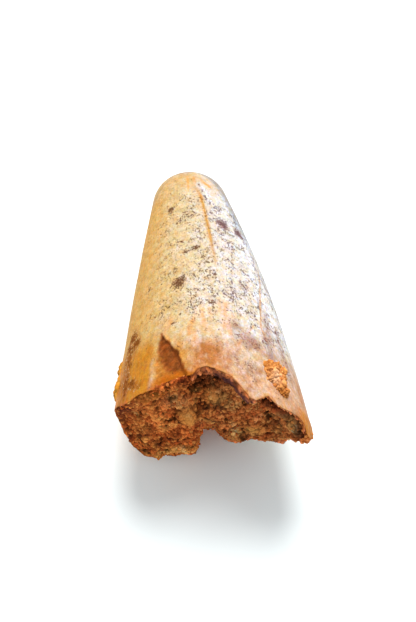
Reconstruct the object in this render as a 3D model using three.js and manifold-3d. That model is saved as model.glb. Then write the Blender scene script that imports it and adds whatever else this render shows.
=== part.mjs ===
// A fossil crocodile tooth that lies on its side: the hollow crown with its broken base, the
// sandstone that fills its pulp cavity, and a lump of the same sandstone that clings to its flank.
//
// Lengths are millimetres. Each piece is shaped in the tooth's own frame: the tooth stands on its
// base plane, its tip up along +Z. The last group lays it down, tip towards +Y, on z = 0.
// A place on the tooth is given by "fromTip", the distance down the axis, and "around", the angle in
// degrees from its right side (0) over the side that faces up once it lies down (90).
// A "reach" is how far something goes past the base plane, away from the tip.
import * as THREE from "three";
import { mergeVertices } from "three/addons/utils/BufferGeometryUtils.js";
import Module from "manifold-3d";

const { degToRad, lerp, mapLinear, radToDeg, smoothstep } = THREE.MathUtils;

// ---- Driving dimensions ----
const crownLength = 46; // tip to base plane, along the axis
const tipRadius = 6; // the worn, round tip
const flankAngle = degToRad(10.27); // half angle of the cone
const flankBulge = 0.59; // how far the flanks swell outside the cone
const sectionHeight = 0.92; // the section's height as a share of its width
const axisBow = 0.4; // sideways bow of the axis at mid-length
const wallThickness = 1.4; // enamel and dentine at the broken base
const pulpDepth = 21; // how far the pulp cavity goes up from the base plane
const pulpTaper = 0.7; // below 1, the cavity closes to a round end and not to a point
const seatGap = 0.3; // between the sandstone and the tooth
const restingFlat = 0.3; // depth worn off the underside, where the tooth lies

// The two cutting ridges, or carinae, that run down from the tip.
const carinae = [
  { around: 78.5, height: 0.3, width: 5.5, end: 30 },
  { around: 293, height: 0.25, width: 5.5, end: 36 },
];

// The broken rim of the wall: [around, reach].
const breakLine = [
  [0, 3.5], [12, 4.5], [20, 6.0], [28, 6.8], [37, 6.6], [42, 5.2], [48, 4.6], [53.5, 4.1],
  [57, 3.3], [65, 4.5], [68.5, 4.0], [77, 0.9], [85.5, -0.4], [91, -1.0], [96.5, -0.8],
  [99, 0.1], [106, 0.5], [125, 0.7], [141, 0.6], [150, 0.2], [158, -0.7], [168, -1.6],
  [178, -2.5], [190, -3.1], [200, -2.4], [214, -1.2], [228, -0.6], [235, -0.8], [241, -1.8],
  [246, -1.5], [252, -2.1], [263, -2.1], [286, -3.2], [298, -3.1], [304, -2.6], [316, -1.1],
  [322, -0.1], [327, -0.4], [340, 1.4], [352, 3.2],
];
const wearStart = 49; // from here the wall's end is rounded off
const rimWear = 0.06; // by this much, times the square of the distance past the start

// A corner of the base that broke away from below: its outline seen from underneath, as [x, reach].
// It goes in most at the bottom of the section, and comes out towards the base plane further up.
const notchOutline = [
  [-1.95, -2.4], [-0.95, -6.6], [1.05, -6.6], [1.6, -5.4], [2.8, -4.2], [4.4, -3.4],
];
const notchDepth = 6.6;
const notchRise = 0.55; // per millimetre up the section

// The flake lost from the upper side, a triangle that points up the crown: [fromTip, around, depth].
// It is deepest along its right edge and runs out at its left edge.
const flakeOutline = [
  [37.3, 120.5, 0.1], [39.1, 123, 0.12], [42.9, 123.2, 0.2], [48, 125, 0.35], [48, 100, 0.8],
  [43.4, 106, 0.8], [41.7, 108, 0.75], [40, 113, 0.6],
];
const flakeMiddle = [42, 116, 0.6];

// The sandstone's broken face, at x across and y up the section as it lies.
const face = { level: -0.4, tilt: [0.2, 0.1], roughness: 0.45, wavelength: 5.5 };
const leftBlock = { edge: -1.7, softness: 0.8, foot: 1, top: 8, proud: 1.3 };
const undercut = { from: -4.5, slope: 0.65 }; // right of the block, the face falls back below
const faceEdgeStart = 0.76; // share of the cavity's radius from which the face runs to the rim
const hollows = [
  { at: [2.5, 8.5], size: [6, 3], depth: 2.2 }, // the shaded one below the rim
  { at: [9.5, 3], size: [3, 4], depth: 1.6 },
];
const pebbles = [
  { at: [-3.6, -0.5], radius: 1.5, height: 1.0 },
  { at: [3.6, -6.8], radius: 2.0, height: 1.2 },
  { at: [7.0, -6.0], radius: 1.8, height: 0.9 },
  { at: [-7.5, 4.0], radius: 1.6, height: 0.6 },
  { at: [-6.5, -7.5], radius: 2.6, height: 0.7 },
  { at: [1.5, 3.0], radius: 1.8, height: 0.7 },
  { at: [10.2, -2.5], radius: 1.6, height: 0.6 },
];

// How far the sandstone lies inside the rim: a little everywhere, and more at two places.
const leastRecess = 0.25;
const deepRecesses = [
  { around: 80, width: 22, depth: 2.2 },
  { around: 28, width: 26, depth: 1.3 },
];

// Lumps outside the wall: place, and half sizes around, along the axis and out.
const flankLumps = [
  { place: [44.2, 49.5], size: [1.5, 1.2, 1.05] },
  { place: [44.9, 45.2], size: [1.1, 1.2, 0.95] },
  { place: [45.7, 50.2], size: [1.1, 1.1, 0.95] },
  { place: [46.7, 46.6], size: [1.05, 1.3, 0.95] },
  { place: [47.8, 44.6], size: [0.85, 0.9, 0.8] },
];
const lumpSwell = { share: 0.16, wavelength: 2.4 }; // how uneven a lump is

// A crust, grown together with the wall, down the left side.
const crustLumps = [
  { place: [37.4, 171], size: [1.3, 1.1, 0.4] },
  { place: [39.3, 174], size: [1.4, 1.3, 0.35] },
  { place: [40.9, 170], size: [1.7, 1.6, 0.5] },
];

// ---- How finely the forms are cut into faces ----
const outerRings = 22; // rings of the crown's outer skin
const ringCrowding = 1.35; // above 1, they lie closer together near the tip
const cavityRings = 10;
const plugRings = 7;
const faceStep = 0.95; // grid of the sandstone's broken face
const widestStep = 7; // degrees between two stations round the tooth
const lumpDetail = 2;
const outerBendStart = 0.6; // share of the crown from which its rings bend towards the break line
const innerBendStart = 0.3; // and the same for the cavity's rings

// ---- The tooth's form ----
const bulgeSpan = crownLength - tipRadius * (1 - Math.sin(flankAngle));
const shoulderAngle = Math.atan(Math.tan(flankAngle) + (flankBulge * Math.PI) / bulgeSpan);
const shoulder = tipRadius * (1 - Math.sin(shoulderAngle)); // where the round tip meets the flank
const layAngle = Math.atan(sectionHeight * Math.tan(flankAngle)); // brings the lower flank level
const cavityTop = crownLength - pulpDepth;
const plugTop = cavityTop + 1;
const pastBase = 8; // how far the cutters and the uncut plug go past the base plane
const cutterClearance = 3; // how far a cutter starts outside the wall

// Half the section's width, this far from the tip.
function outerRadius(fromTip) {
  if (fromTip < shoulder) return Math.sqrt(fromTip * (2 * tipRadius - fromTip));
  const past = fromTip - shoulder;
  const cone = tipRadius * Math.cos(shoulderAngle) + Math.tan(flankAngle) * past;
  const worn = rimWear * Math.max(0, fromTip - wearStart) ** 2;
  return cone + flankBulge * Math.sin((Math.PI * past) / bulgeSpan) - worn;
}

// A carina starts near the tip, is full down to half its length, and fades out at its end.
function carinaRelief(fromTip, around) {
  let relief = 0;
  for (const ridge of carinae) {
    const across = (around - ridge.around) / ridge.width;
    const start = smoothstep(fromTip, 1, 5);
    const fade = 1 - smoothstep(fromTip, ridge.end / 2, ridge.end);
    relief += ridge.height * Math.exp(-across * across) * start * fade;
  }
  return relief;
}

// A point of the section that lies this far from the tip. The section is an ellipse.
function sectionPoint(fromTip, around, halfWidth) {
  const share = fromTip / crownLength;
  const bow = axisBow * 4 * share * (1 - share);
  const angle = degToRad(around);
  const x = bow + halfWidth * Math.cos(angle);
  const y = -sectionHeight * halfWidth * Math.sin(angle);
  return new THREE.Vector3(x, y, crownLength - fromTip);
}

function surfacePoint(fromTip, around, outwards = 0) {
  const halfWidth = outerRadius(fromTip) + carinaRelief(fromTip, around) + outwards;
  return sectionPoint(fromTip, around, halfWidth);
}

// The pulp cavity is one wall thickness inside the flank at the rim, and closes further up.
function cavityRadius(fromTip) {
  const down = Math.min(1, (fromTip - cavityTop) / pulpDepth);
  return (outerRadius(fromTip) - wallThickness) * Math.sin((Math.PI / 2) * down) ** pulpTaper;
}

// Angles round the tooth: every station of the break line, with more between distant ones.
const stations = breakLine.flatMap(([around], k) => {
  const next = k + 1 < breakLine.length ? breakLine[k + 1][0] : 360;
  const steps = Math.ceil((next - around) / widestStep);
  return Array.from({ length: steps }, (_, i) => around + ((next - around) * i) / steps);
});

const wholeTurn = (around) => ((around % 360) + 360) % 360;

function rimReach(around) {
  const turn = wholeTurn(around);
  const k = breakLine.findLastIndex(([angle]) => angle <= turn);
  const [fromAngle, fromReach] = breakLine[k];
  const [toAngle, toReach] = k + 1 < breakLine.length ? breakLine[k + 1] : [360, breakLine[0][1]];
  return mapLinear(turn, fromAngle, toAngle, fromReach, toReach);
}

// ---- Closed skins from rings of points, between a first and a last point ----
function skin(first, rings, last) {
  const count = rings[0].length;
  const points = [first, ...rings.flat(), last];
  const at = (ring, k) => 1 + ring * count + (k % count);
  const index = [];
  for (let k = 0; k < count; k++) {
    index.push(0, at(0, k + 1), at(0, k));
    for (let ring = 0; ring + 1 < rings.length; ring++) {
      index.push(at(ring, k), at(ring + 1, k + 1), at(ring + 1, k));
      index.push(at(ring, k), at(ring, k + 1), at(ring + 1, k + 1));
    }
    index.push(points.length - 1, at(rings.length - 1, k), at(rings.length - 1, k + 1));
  }
  const geometry = new THREE.BufferGeometry().setFromPoints(points);
  return geometry.setIndex(index);
}

const ringOf = (pointAt) => stations.map((around) => pointAt(around));

// Rings of the outer skin from the tip to "end". With "follow" they bend towards the break line.
function outerSkinRings(end, outwards, follow) {
  return Array.from({ length: outerRings }, (_, k) => {
    const share = ((k + 1) / outerRings) ** ringCrowding;
    const bend = follow ? smoothstep(share, outerBendStart, 1) : 0;
    return ringOf((around) => surfacePoint(share * end + bend * rimReach(around), around, outwards));
  });
}

// The crown with its cavity. The cavity's rings go up from the rim.
function crownSkin() {
  const rings = outerSkinRings(crownLength, 0, true);
  for (let ring = 0; ring < cavityRings; ring++) {
    const share = 1 - ring / cavityRings;
    const bend = smoothstep(share, innerBendStart, 1);
    rings.push(
      ringOf((around) => {
        const fromTip = cavityTop + share * pulpDepth + bend * rimReach(around);
        return sectionPoint(fromTip, around, cavityRadius(fromTip));
      }),
    );
  }
  return skin(surfacePoint(0, 0), rings, sectionPoint(cavityTop, 0, 0));
}

// ---- The sandstone in the cavity ----
// The plug fits the cavity and runs on past the rim, for the broken face to be cut from it.
function plugSkin() {
  const rings = [];
  for (let ring = 1; ring <= plugRings; ring++) {
    const fromTip = lerp(plugTop, crownLength + pastBase, ring / plugRings);
    rings.push(ringOf((around) => sectionPoint(fromTip, around, cavityRadius(fromTip) - seatGap)));
  }
  const end = sectionPoint(crownLength + pastBase, 0, 0);
  return skin(sectionPoint(plugTop, 0, 0), rings, end);
}

// Three crossed waves, between -1 and 1, stand for the uneven fracture.
function rumple(x, y, wavelength) {
  const k = (2 * Math.PI) / wavelength;
  const a = Math.sin(k * (0.92 * x + 0.39 * y) + 1.3);
  const b = Math.sin(k * 1.31 * (-0.31 * x + 0.95 * y) + 4.1);
  const c = Math.sin(k * 1.73 * (0.68 * x - 0.73 * y) + 2.2);
  return (a + b + c) / 3;
}

function bump(x, y, [atX, atY], sizeX, sizeY = sizeX) {
  const u = (x - atX) / sizeX;
  const v = (y - atY) / sizeY;
  return Math.exp(-(u * u + v * v));
}

function openFaceReach(x, y) {
  const fine = rumple(y, x, face.wavelength / 2);
  let reach = face.level + face.tilt[0] * x + face.tilt[1] * y;
  reach += face.roughness * (rumple(x, y, face.wavelength) + fine / 2);
  const { edge, softness, foot, top, proud } = leftBlock;
  const onBlock = 1 - smoothstep(x, edge - softness, edge + softness);
  reach += proud * onBlock * (1 - smoothstep(y, foot, top));
  reach -= undercut.slope * (1 - onBlock) * Math.max(0, undercut.from - y);
  for (const { at, size, depth } of hollows) reach -= depth * bump(x, y, at, ...size);
  for (const { at, radius, height } of pebbles) reach += height * bump(x, y, at, radius);
  return reach;
}

function recessAt(around) {
  let recess = leastRecess;
  for (const deep of deepRecesses) {
    const apart = wholeTurn(around - deep.around + 180) - 180;
    recess += deep.depth * Math.exp(-((apart / deep.width) ** 2));
  }
  return recess;
}

// The face runs out to the rim of the wall, and stays inside the rim by its recess there.
function faceReach(x, y) {
  const around = radToDeg(Math.atan2(y / sectionHeight, x));
  const share = Math.hypot(x, y / sectionHeight) / cavityRadius(crownLength);
  const rim = rimReach(around) - recessAt(around);
  return lerp(openFaceReach(x, y), rim, smoothstep(share, faceEdgeStart, 1));
}

// A block with the broken face for its near side. It takes away all that lies past the face.
function faceCutter() {
  const span = 2 * outerRadius(crownLength + pastBase);
  const steps = Math.round(span / faceStep);
  const block = new THREE.BoxGeometry(span, span, 1, steps, steps, 1);
  const points = block.attributes.position;
  for (let i = 0; i < points.count; i++) {
    const [x, y, z] = [points.getX(i), points.getY(i), points.getZ(i)];
    points.setZ(i, z > 0 ? -faceReach(x, -y) : -2 * pastBase);
  }
  return block;
}

// A block for the corner that broke away from below. It starts under the wall, is open past the
// base, and leans so that its inner side comes out to the base plane at its top.
function notchCutter() {
  const [right] = notchOutline.at(-1);
  const outline = [[notchOutline[0][0], pastBase], ...notchOutline, [right, pastBase]];
  const shape = new THREE.Shape(outline.map(([x, reach]) => new THREE.Vector2(x, -reach)));
  const height = notchDepth / notchRise + cutterClearance;
  const block = new THREE.ExtrudeGeometry(shape, { depth: height, bevelEnabled: false });
  const underneath = sectionHeight * outerRadius(crownLength) + cutterClearance;
  const points = block.attributes.position;
  for (let i = 0; i < points.count; i++) {
    const up = points.getZ(i);
    const lean = notchRise * (up - cutterClearance);
    points.setXYZ(i, points.getX(i), underneath - up, points.getY(i) - lean);
  }
  return block;
}

// ---- Solids ----
const wasm = await Module();
wasm.setup();

function solidOf(geometry) {
  const bare = geometry.clone();
  bare.deleteAttribute("normal");
  bare.deleteAttribute("uv");
  const merged = mergeVertices(bare, 1e-4);
  return new wasm.Manifold(
    new wasm.Mesh({
      numProp: 3,
      vertProperties: merged.attributes.position.array,
      triVerts: new Uint32Array(merged.index.array),
    }),
  );
}

function geometryOf(solid) {
  const { vertProperties, triVerts } = solid.getMesh();
  const geometry = new THREE.BufferGeometry();
  geometry.setAttribute("position", new THREE.BufferAttribute(vertProperties, 3));
  geometry.setIndex(new THREE.BufferAttribute(triVerts, 1));
  return geometry;
}

// The flake's cutter goes from the scar's floor to the air above the skin.
function flakeCutter() {
  const floorAt = ([fromTip, around, depth]) => surfacePoint(fromTip, around, -depth);
  const airAt = ([fromTip, around]) => surfacePoint(fromTip, around, cutterClearance);
  const rings = [flakeOutline.map(floorAt), flakeOutline.map(airAt)];
  return skin(floorAt(flakeMiddle), rings, airAt(flakeMiddle));
}

// A frame on the tooth's surface: X around, Y along the axis towards the base, Z outwards.
function surfaceFrame([fromTip, around]) {
  const here = surfacePoint(fromTip, around);
  const along = surfacePoint(fromTip + 0.5, around).sub(here).normalize();
  const side = surfacePoint(fromTip, around + 1).sub(here).normalize();
  const out = new THREE.Vector3().crossVectors(side, along).normalize();
  side.crossVectors(along, out);
  return new THREE.Matrix4().makeBasis(side, along, out).setPosition(here);
}

// Uneven lumps on the surface, joined in one solid.
function joinedLumps(lumps) {
  const blobs = lumps.map(({ place, size }, k) => {
    const blob = new THREE.IcosahedronGeometry(1, lumpDetail);
    const points = blob.attributes.position;
    for (let i = 0; i < points.count; i++) {
      const point = new THREE.Vector3().fromBufferAttribute(points, i);
      const wave = rumple(3 * point.x + k, 3 * point.y - 2 * point.z, lumpSwell.wavelength);
      points.setXYZ(i, ...point.multiplyScalar(1 + lumpSwell.share * wave));
    }
    blob.scale(...size);
    return solidOf(blob.applyMatrix4(surfaceFrame(place)));
  });
  return blobs.reduce((joined, blob) => joined.add(blob));
}

// The tooth's outer form without its cavity, grown by the seat gap, for what clings to it.
function grownForm() {
  const end = crownLength + pastBase;
  const tip = sectionPoint(-seatGap, 0, 0);
  return solidOf(skin(tip, outerSkinRings(end, seatGap, false), sectionPoint(end, 0, 0)));
}

// The underside is worn to a narrow flat, which is level once the tooth lies down.
const levelNormal = new THREE.Vector3(0, -Math.cos(layAngle), -Math.sin(layAngle));
function lowestLevel(solid) {
  const { vertProperties } = solid.getMesh();
  let lowest = Infinity;
  for (let i = 0; i < vertProperties.length; i += 3) {
    const point = new THREE.Vector3().fromArray(vertProperties, i);
    lowest = Math.min(lowest, point.dot(levelNormal));
  }
  return lowest;
}

const notch = solidOf(notchCutter());
const wholeCrown = solidOf(crownSkin()).add(joinedLumps(crustLumps));
const brokenCrown = wholeCrown.subtract(solidOf(flakeCutter())).subtract(notch);
const floorLevel = lowestLevel(brokenCrown) + restingFlat;
const crown = brokenCrown.trimByPlane(levelNormal.toArray(), floorLevel);
const fill = solidOf(plugSkin()).subtract(solidOf(faceCutter())).subtract(notch);
const lump = joinedLumps(flankLumps).subtract(grownForm());

// ---- Finishes ----
const enamel = new THREE.MeshStandardMaterial({ color: 0xdcb877, roughness: 0.35, metalness: 0 });
const sandstone = new THREE.MeshStandardMaterial({ color: 0x8f4f22, roughness: 0.9, metalness: 0 });
const paleSandstone = new THREE.MeshStandardMaterial({ color: 0xc9773a, roughness: 0.85, metalness: 0 });

function piece(name, solid, material) {
  const mesh = new THREE.Mesh(geometryOf(solid), material);
  mesh.name = name;
  return mesh;
}

// ---- The tooth as it stands, then laid on its side ----
const tooth = new THREE.Group();
tooth.add(
  piece("tooth_crown", crown, enamel),
  piece("sandstone_fill", fill, sandstone),
  piece("sandstone_lump", lump, paleSandstone),
);
tooth.rotation.x = -(Math.PI / 2 + layAngle);

// The origin is on the surface it rests on, below the middle of the object's box.
const fossil = new THREE.Group();
fossil.add(tooth);
fossil.updateMatrixWorld(true);
const box = new THREE.Box3().setFromObject(fossil, true);
const middle = box.getCenter(new THREE.Vector3());
tooth.position.set(-middle.x, -middle.y, -floorLevel);

export default fossil;
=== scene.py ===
import itertools
import math
from types import SimpleNamespace

import bmesh
import bpy
import numpy as np
from bpy.props import FloatProperty, FloatVectorProperty, IntProperty, PointerProperty
from bpy.types import Operator, Panel, PropertyGroup
from mathutils import Euler, Matrix, Vector


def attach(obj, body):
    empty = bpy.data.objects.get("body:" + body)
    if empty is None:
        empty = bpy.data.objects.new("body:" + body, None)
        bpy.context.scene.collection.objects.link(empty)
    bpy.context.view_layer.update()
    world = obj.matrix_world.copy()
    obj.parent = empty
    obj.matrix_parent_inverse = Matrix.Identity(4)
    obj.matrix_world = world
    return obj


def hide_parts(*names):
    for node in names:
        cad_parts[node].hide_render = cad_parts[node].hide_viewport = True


bl_info = {
    "name": "Fossil crocodile tooth",
    "version": (1, 0, 0),
    "blender": (4, 5, 0),
    "location": "3D View > Sidebar > Fossil tooth",
    "description": "A fossil crocodile tooth with sandstone in its broken base",
    "category": "Add Mesh",
}

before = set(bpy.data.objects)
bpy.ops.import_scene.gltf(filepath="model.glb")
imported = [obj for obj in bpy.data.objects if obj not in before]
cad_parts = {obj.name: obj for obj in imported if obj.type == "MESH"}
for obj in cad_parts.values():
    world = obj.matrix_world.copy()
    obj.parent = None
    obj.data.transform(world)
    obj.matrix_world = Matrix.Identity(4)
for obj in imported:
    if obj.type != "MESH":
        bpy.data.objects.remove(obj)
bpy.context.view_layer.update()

# Shapes are worked out in millimetres, in the tooth's own frame: the tooth stands on its base
# plane, its tip up along +Z. "from tip" is the distance down the axis, "around" the angle in
# degrees from the right side (0) over the side that faces up once the tooth lies down (90),
# and "reach" how far something goes past the base plane, away from the tip.
MM = 0.001

# The broken rim of the wall: around, reach.
BREAK_LINE = np.array([
    (0, 3.5), (11, 4.6), (17, 6.1), (22.5, 6.1), (25.5, 5.3), (28, 4.9), (32.5, 4.7),
    (42, 4.6), (48, 4.6), (53.5, 4.1), (57, 3.3), (65, 4.5), (68.5, 4.0), (77, 0.9),
    (85.5, -0.4), (91, -1.0), (96.5, -0.8), (99, 0.1), (106, 0.5), (125, 0.7), (141, 0.6),
    (150, 0.2), (158, -0.7), (168, -1.6),
    (178, -2.5), (190, -3.1), (200, -2.4), (214, -1.2), (228, -0.6), (235, -0.8), (241, -1.8),
    (246, -1.5), (252, -2.1), (263, -2.1), (286, -3.2), (298, -3.1), (304, -2.6), (316, -1.1),
    (322, -0.1), (327, -0.4), (340, 1.4), (352, 3.2), (360, 3.5),
])

# The corner that broke away from below: x across, and the reach left standing at the bottom of
# the section. It comes out by NOTCH_RISE for each millimetre further up.
NOTCH = np.array([
    (-1.96, 60), (-1.95, -2.4), (-0.95, -6.6), (1.05, -6.6), (1.6, -5.4), (2.8, -4.2),
    (4.4, -3.4), (4.41, 60),
])
NOTCH_RISE = 0.55

# The flake lost from the upper side: from tip, around of its left and right edge, depth there.
FLAKE = np.array([
    (37.3, 120.5, 120.5, 0.10, 0.10), (39.1, 123.0, 115.5, 0.12, 0.50),
    (40.0, 123.1, 113.0, 0.14, 0.62), (41.7, 123.2, 108.0, 0.18, 0.75),
    (42.9, 123.3, 106.6, 0.20, 0.80), (48.0, 125.0, 100.0, 0.35, 0.80),
])

# The two cutting ridges, or carinae: around, height, width, from tip where it has faded out.
CARINAE = [(78.5, 0.30, 5.5, 30), (293, 0.25, 5.5, 36)]

# The crust grown together with the wall, down the left side: from tip, around, half sizes
# around, along and out.
CRUST = [
    (37.4, 171, 1.3, 1.1, 0.40), (39.3, 174, 1.4, 1.3, 0.35), (40.9, 170, 1.7, 1.6, 0.50),
]

# The lump on the flank: from tip, around, half sizes around, along and out.
LUMP = [
    (44.2, 49.5, 1.5, 1.2, 1.05), (44.9, 45.2, 1.1, 1.2, 0.95), (45.7, 50.2, 1.1, 1.1, 0.95),
    (46.7, 46.6, 1.05, 1.3, 0.95), (47.8, 44.6, 0.85, 0.9, 0.8),
]
LUMP_PALE = (46.0, 50.0)  # from tip, around, where it is palest
LUMP_VOXEL = 0.1

# The sandstone's broken face, at x across and "up" the section as it lies.
FACE_STEPS = 296  # points along each side of its grid
HOLLOWS = [(2.5, 8.5, 6, 3, 2.2), (9.5, 3, 3, 4, 1.6)]  # x, up, half sizes, depth
SAND_TINTS = [  # x, up, half sizes, how the colour of the sand changes there
    (5.7, -0.7, 2.0, 1.3, (1.34, 1.35, 1.16)), (2.9, -3.0, 1.4, 1.2, (1.25, 1.17, 1.15)),
    # The tint at x -1.4 is painted shade, darker in the crease by the notch.
    (-9.5, 0.5, 1.4, 1.8, (0.68, 0.55, 0.48)), (-1.4, -1.1, 1.2, 1.6, (0.62, 0.64, 0.85)),
    (9.5, 0.8, 1.4, 1.4, (1.20, 1.45, 1.60)),
]
PEBBLES = [  # x, up, radius, height, how olive it is
    (-3.1, 2.6, 1.5, 0.9, 1.0), (2.9, -4.6, 1.9, 1.0, 0.6), (5.9, -1.2, 1.6, 0.7, 0.9),
    (-7.5, 4.0, 1.6, 0.6, 0.1), (-6.5, -7.5, 2.6, 0.7, 0.0), (0.9, 5.5, 1.6, 0.6, 0.85),
    (10.2, -2.5, 1.6, 0.6, 0.2),
]
# Where the sandstone lies further inside the rim: around, half width, depth.
DEEP_RECESSES = [(80, 20, 2.2), (28, 26, 0.45)]

# Loose grains on each piece: their spacing in millimetres, and the tone of the darkest.
LOOSE_GRAINS = [
    ("sandstone_core", 0.85, 0.2), ("sandstone_knob", 0.7, 0.75), ("crown_shell", 0.42, 0.55),
]
GRAIN_DENSITY = 2.4e7  # at most, for each square metre
GRAIN_FACETS = {"Segments": 8, "Rings": 5}

# The stage, in metres: the floor's half size, the key light, the sky's light and the camera.
FLOOR_HALF = 1.5
KEY_LIGHT = {"power": 1.95, "size": 0.24, "place": (0.035, 0.20, 0.36), "tint": (1.02, 1, 0.98)}
SKY_COLOUR, SKY_STRENGTH = (0.985, 1, 1.01, 1), 0.735
CAMERA_PLACE, CAMERA_AIM = (-0.005515, -0.079529, 0.157796), (0.0382, 0.4679, -0.8829)
LENS_MM, SENSOR_MM = 65.92, 36


def length(name, description, default):
    return FloatProperty(
        name=name, description=description, default=default, min=0, unit="LENGTH", precision=5)


def colour(name, description, default):
    return FloatVectorProperty(
        name=name, description=description, default=default, size=3, min=0, max=1,
        subtype="COLOR")


class FossilToothSizes(PropertyGroup):
    """The sizes of the tooth, its sandstone and their detail."""

    crown_length: length("Crown length", "Tip to base plane, along the axis", 0.046)
    tip_radius: length("Tip radius", "Radius of the worn, round tip", 0.006)
    flank_bulge: length("Flank bulge", "How far the flanks swell outside the cone", 0.00059)
    axis_bow: length("Axis bow", "Sideways bow of the axis at mid-length", 0.0004)
    wall: length("Wall thickness", "Enamel and dentine at the broken base", 0.0014)
    pulp_depth: length("Pulp depth", "How far the cavity goes up from the base plane", 0.021)
    grain: length("Grain size", "Usual width of a sand grain in the broken face", 0.00049)
    grain_relief: length("Grain relief", "How far a sand grain stands out", 0.00013)
    loose_grain: length("Loose grain radius", "Largest radius of a scattered grain", 0.00028)
    striae: length("Striae", "Height of the fine ridges down the enamel", 0.000018)
    flank_angle: FloatProperty(
        name="Flank angle", description="Half angle of the cone", subtype="ANGLE",
        default=math.radians(10.27))
    section_height: FloatProperty(
        name="Section height", description="The section's height as a share of its width",
        default=0.92, min=0.5, max=1.2, subtype="FACTOR")
    seed: IntProperty(name="Seed", description="Seed of everything scattered", default=11)


class FossilToothColours(PropertyGroup):
    """The colours of the enamel, the stains on it and the sandstone."""

    cream: colour("Cream", "Enamel along the top", (0.505, 0.402, 0.228))
    gold: colour("Gold", "Enamel on the left flank", (0.51, 0.273, 0.052))
    ochre: colour("Ochre", "Enamel low on the left flank", (0.465, 0.218, 0.035))
    chalk: colour("Chalk", "Leached enamel on the right flank", (0.58, 0.555, 0.545))
    peach: colour("Peach", "Enamel at the tip", (0.495, 0.341, 0.166))
    rust: colour("Rust", "Stained band above the break", (0.363, 0.132, 0.035))
    rose: colour("Rose", "Paler part of that band", (0.48, 0.305, 0.205))
    mauve: colour("Mauve", "Mineral smudges", (0.225, 0.132, 0.124))
    umber: colour("Umber", "Dark flecks and crusts", (0.085, 0.032, 0.014))
    lilac: colour("Lilac", "Flecks on the leached side", (0.105, 0.052, 0.054))
    orange: colour("Orange", "Stripe along the cutting ridge", (0.64, 0.26, 0.035))
    scar: colour("Scar", "Floor of the lost flake", (0.205, 0.058, 0.013))
    dentine: colour("Dentine", "The wall's broken edge", (0.64, 0.207, 0.080))
    sand_dark: colour("Dark sand", "Darkest grains", (0.095, 0.021, 0.007))
    sand: colour("Sand", "Most grains", (0.45, 0.116, 0.025))
    sand_light: colour("Light sand", "Lighter grains", (0.68, 0.265, 0.067))
    quartz: colour("Quartz", "Palest grains", (0.76, 0.45, 0.19))
    olive: colour("Olive", "Pebbles in the sandstone", (0.36, 0.157, 0.036))
    floor: colour("Floor", "What the tooth lies on", (0.905, 0.98, 0.995))


# Colours of single stains and shades; some of them are painted shade.
STAINS = {
    "golden": (0.44, 0.176, 0.0085),  # enamel left of the flake
    "tawny": (0.38, 0.125, 0.006),  # beside it, towards the crust
    "brown": (0.27, 0.084, 0.008),  # crumbly patches on the golden enamel
    "amber": (0.37, 0.105, 0.0085),  # between the flake and the rim
    "chip": (0.60, 0.46, 0.30),
    "grey_streak": (0.19, 0.125, 0.115),
    "crust": (0.54, 0.235, 0.032),
    "low_edge": (0.46, 0.172, 0.028),
    # Painted shade along the outline: grey on the right and over the tip, brown on the left.
    "bloom": (0.28, 0.25, 0.25),
    "contour": (0.36, 0.24, 0.12),
    "brown_fleck": (0.15, 0.041, 0.004),
    # Painted shade where the wall's broken edge lies under the rim.
    "black": (0.055, 0.022, 0.028),
    "grey_sand": (0.44, 0.27, 0.12),
    "maroon": (0.085, 0.018, 0.010),
    # The knob's beads: dark and light ends of their painted shade and highlight, then warm and
    # pale colours of their own.
    "dark_bead": (0.24, 0.052, 0.007),
    "light_bead": (0.80, 0.355, 0.095),
    "warm_bead": (0.55, 0.20, 0.03),
    "pale_bead": (0.76, 0.45, 0.26),
}


def palette(colours):
    """The colours and the stains as arrays by name, and the shades mixed from them."""
    picked = {name: getattr(colours, name) for name in colours.__annotations__}
    c = SimpleNamespace(**{name: np.array(rgb) for name, rgb in {**picked, **STAINS}.items()})
    c.leached_cream = mix(c.cream, c.chalk, 0.35)
    c.blush = mix(c.rose, c.chalk, 0.25)
    c.warm_blush = c.blush * (1.12, 1.08, 0.9)
    c.cream_patch = mix(c.chalk, c.peach, 0.6)
    c.orange_rose = mix(c.orange, c.rose, 0.6)
    c.rim_orange = mix(c.orange, c.rose, 0.4)
    c.orange_rust = mix(c.orange, c.rust, 0.5)
    c.stripe = c.orange * (0.74, 0.9, 1.0)
    c.shallow_floor = c.orange * (0.63, 0.62, 0.9)
    return c


# ---- Noise ----

def cell_random(cells, seed):
    """A number from 0 to 1 for each whole-number cell, always the same for the same seed."""
    h = cells[..., 0] * 73856093 ^ cells[..., 1] * 19349663 ^ cells[..., 2] * 83492791
    h = (h ^ seed * 2654435761) & 0xFFFFFFFF
    for factor in (2246822519, 3266489917):
        h = ((h ^ (h >> 15)) * factor) & 0xFFFFFFFF
    return ((h ^ (h >> 16)) & 0xFFFFFF) / 0xFFFFFF


# Turns the noise's lattice away from the axes, so that its planes don't show as bands.
SKEW = (0.62, 0.41, 0.93)
LATTICE = np.array(Euler(SKEW).to_matrix())


def swell(points, size, seed):
    """Smooth noise from -1 to 1 that changes over about one size."""
    scaled = points @ LATTICE / size
    cells = np.floor(scaled).astype(np.int64)
    part = scaled - cells
    part = part * part * (3 - 2 * part)
    total = np.zeros(points.shape[:-1])
    for corner in itertools.product((0, 1), repeat=3):
        weight = np.prod(np.where(corner, part, 1 - part), axis=-1)
        total += weight * cell_random(cells + np.array(corner), seed)
    return 2 * total - 1


def fractal(points, size, seed, octaves=3):
    """Noise with finer and fainter swells on it, about from -1 to 1."""
    parts = [swell(points, size / 2**k, seed + k) / 2**k for k in range(octaves)]
    return sum(parts) / (2 - 2 / 2**octaves)


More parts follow.
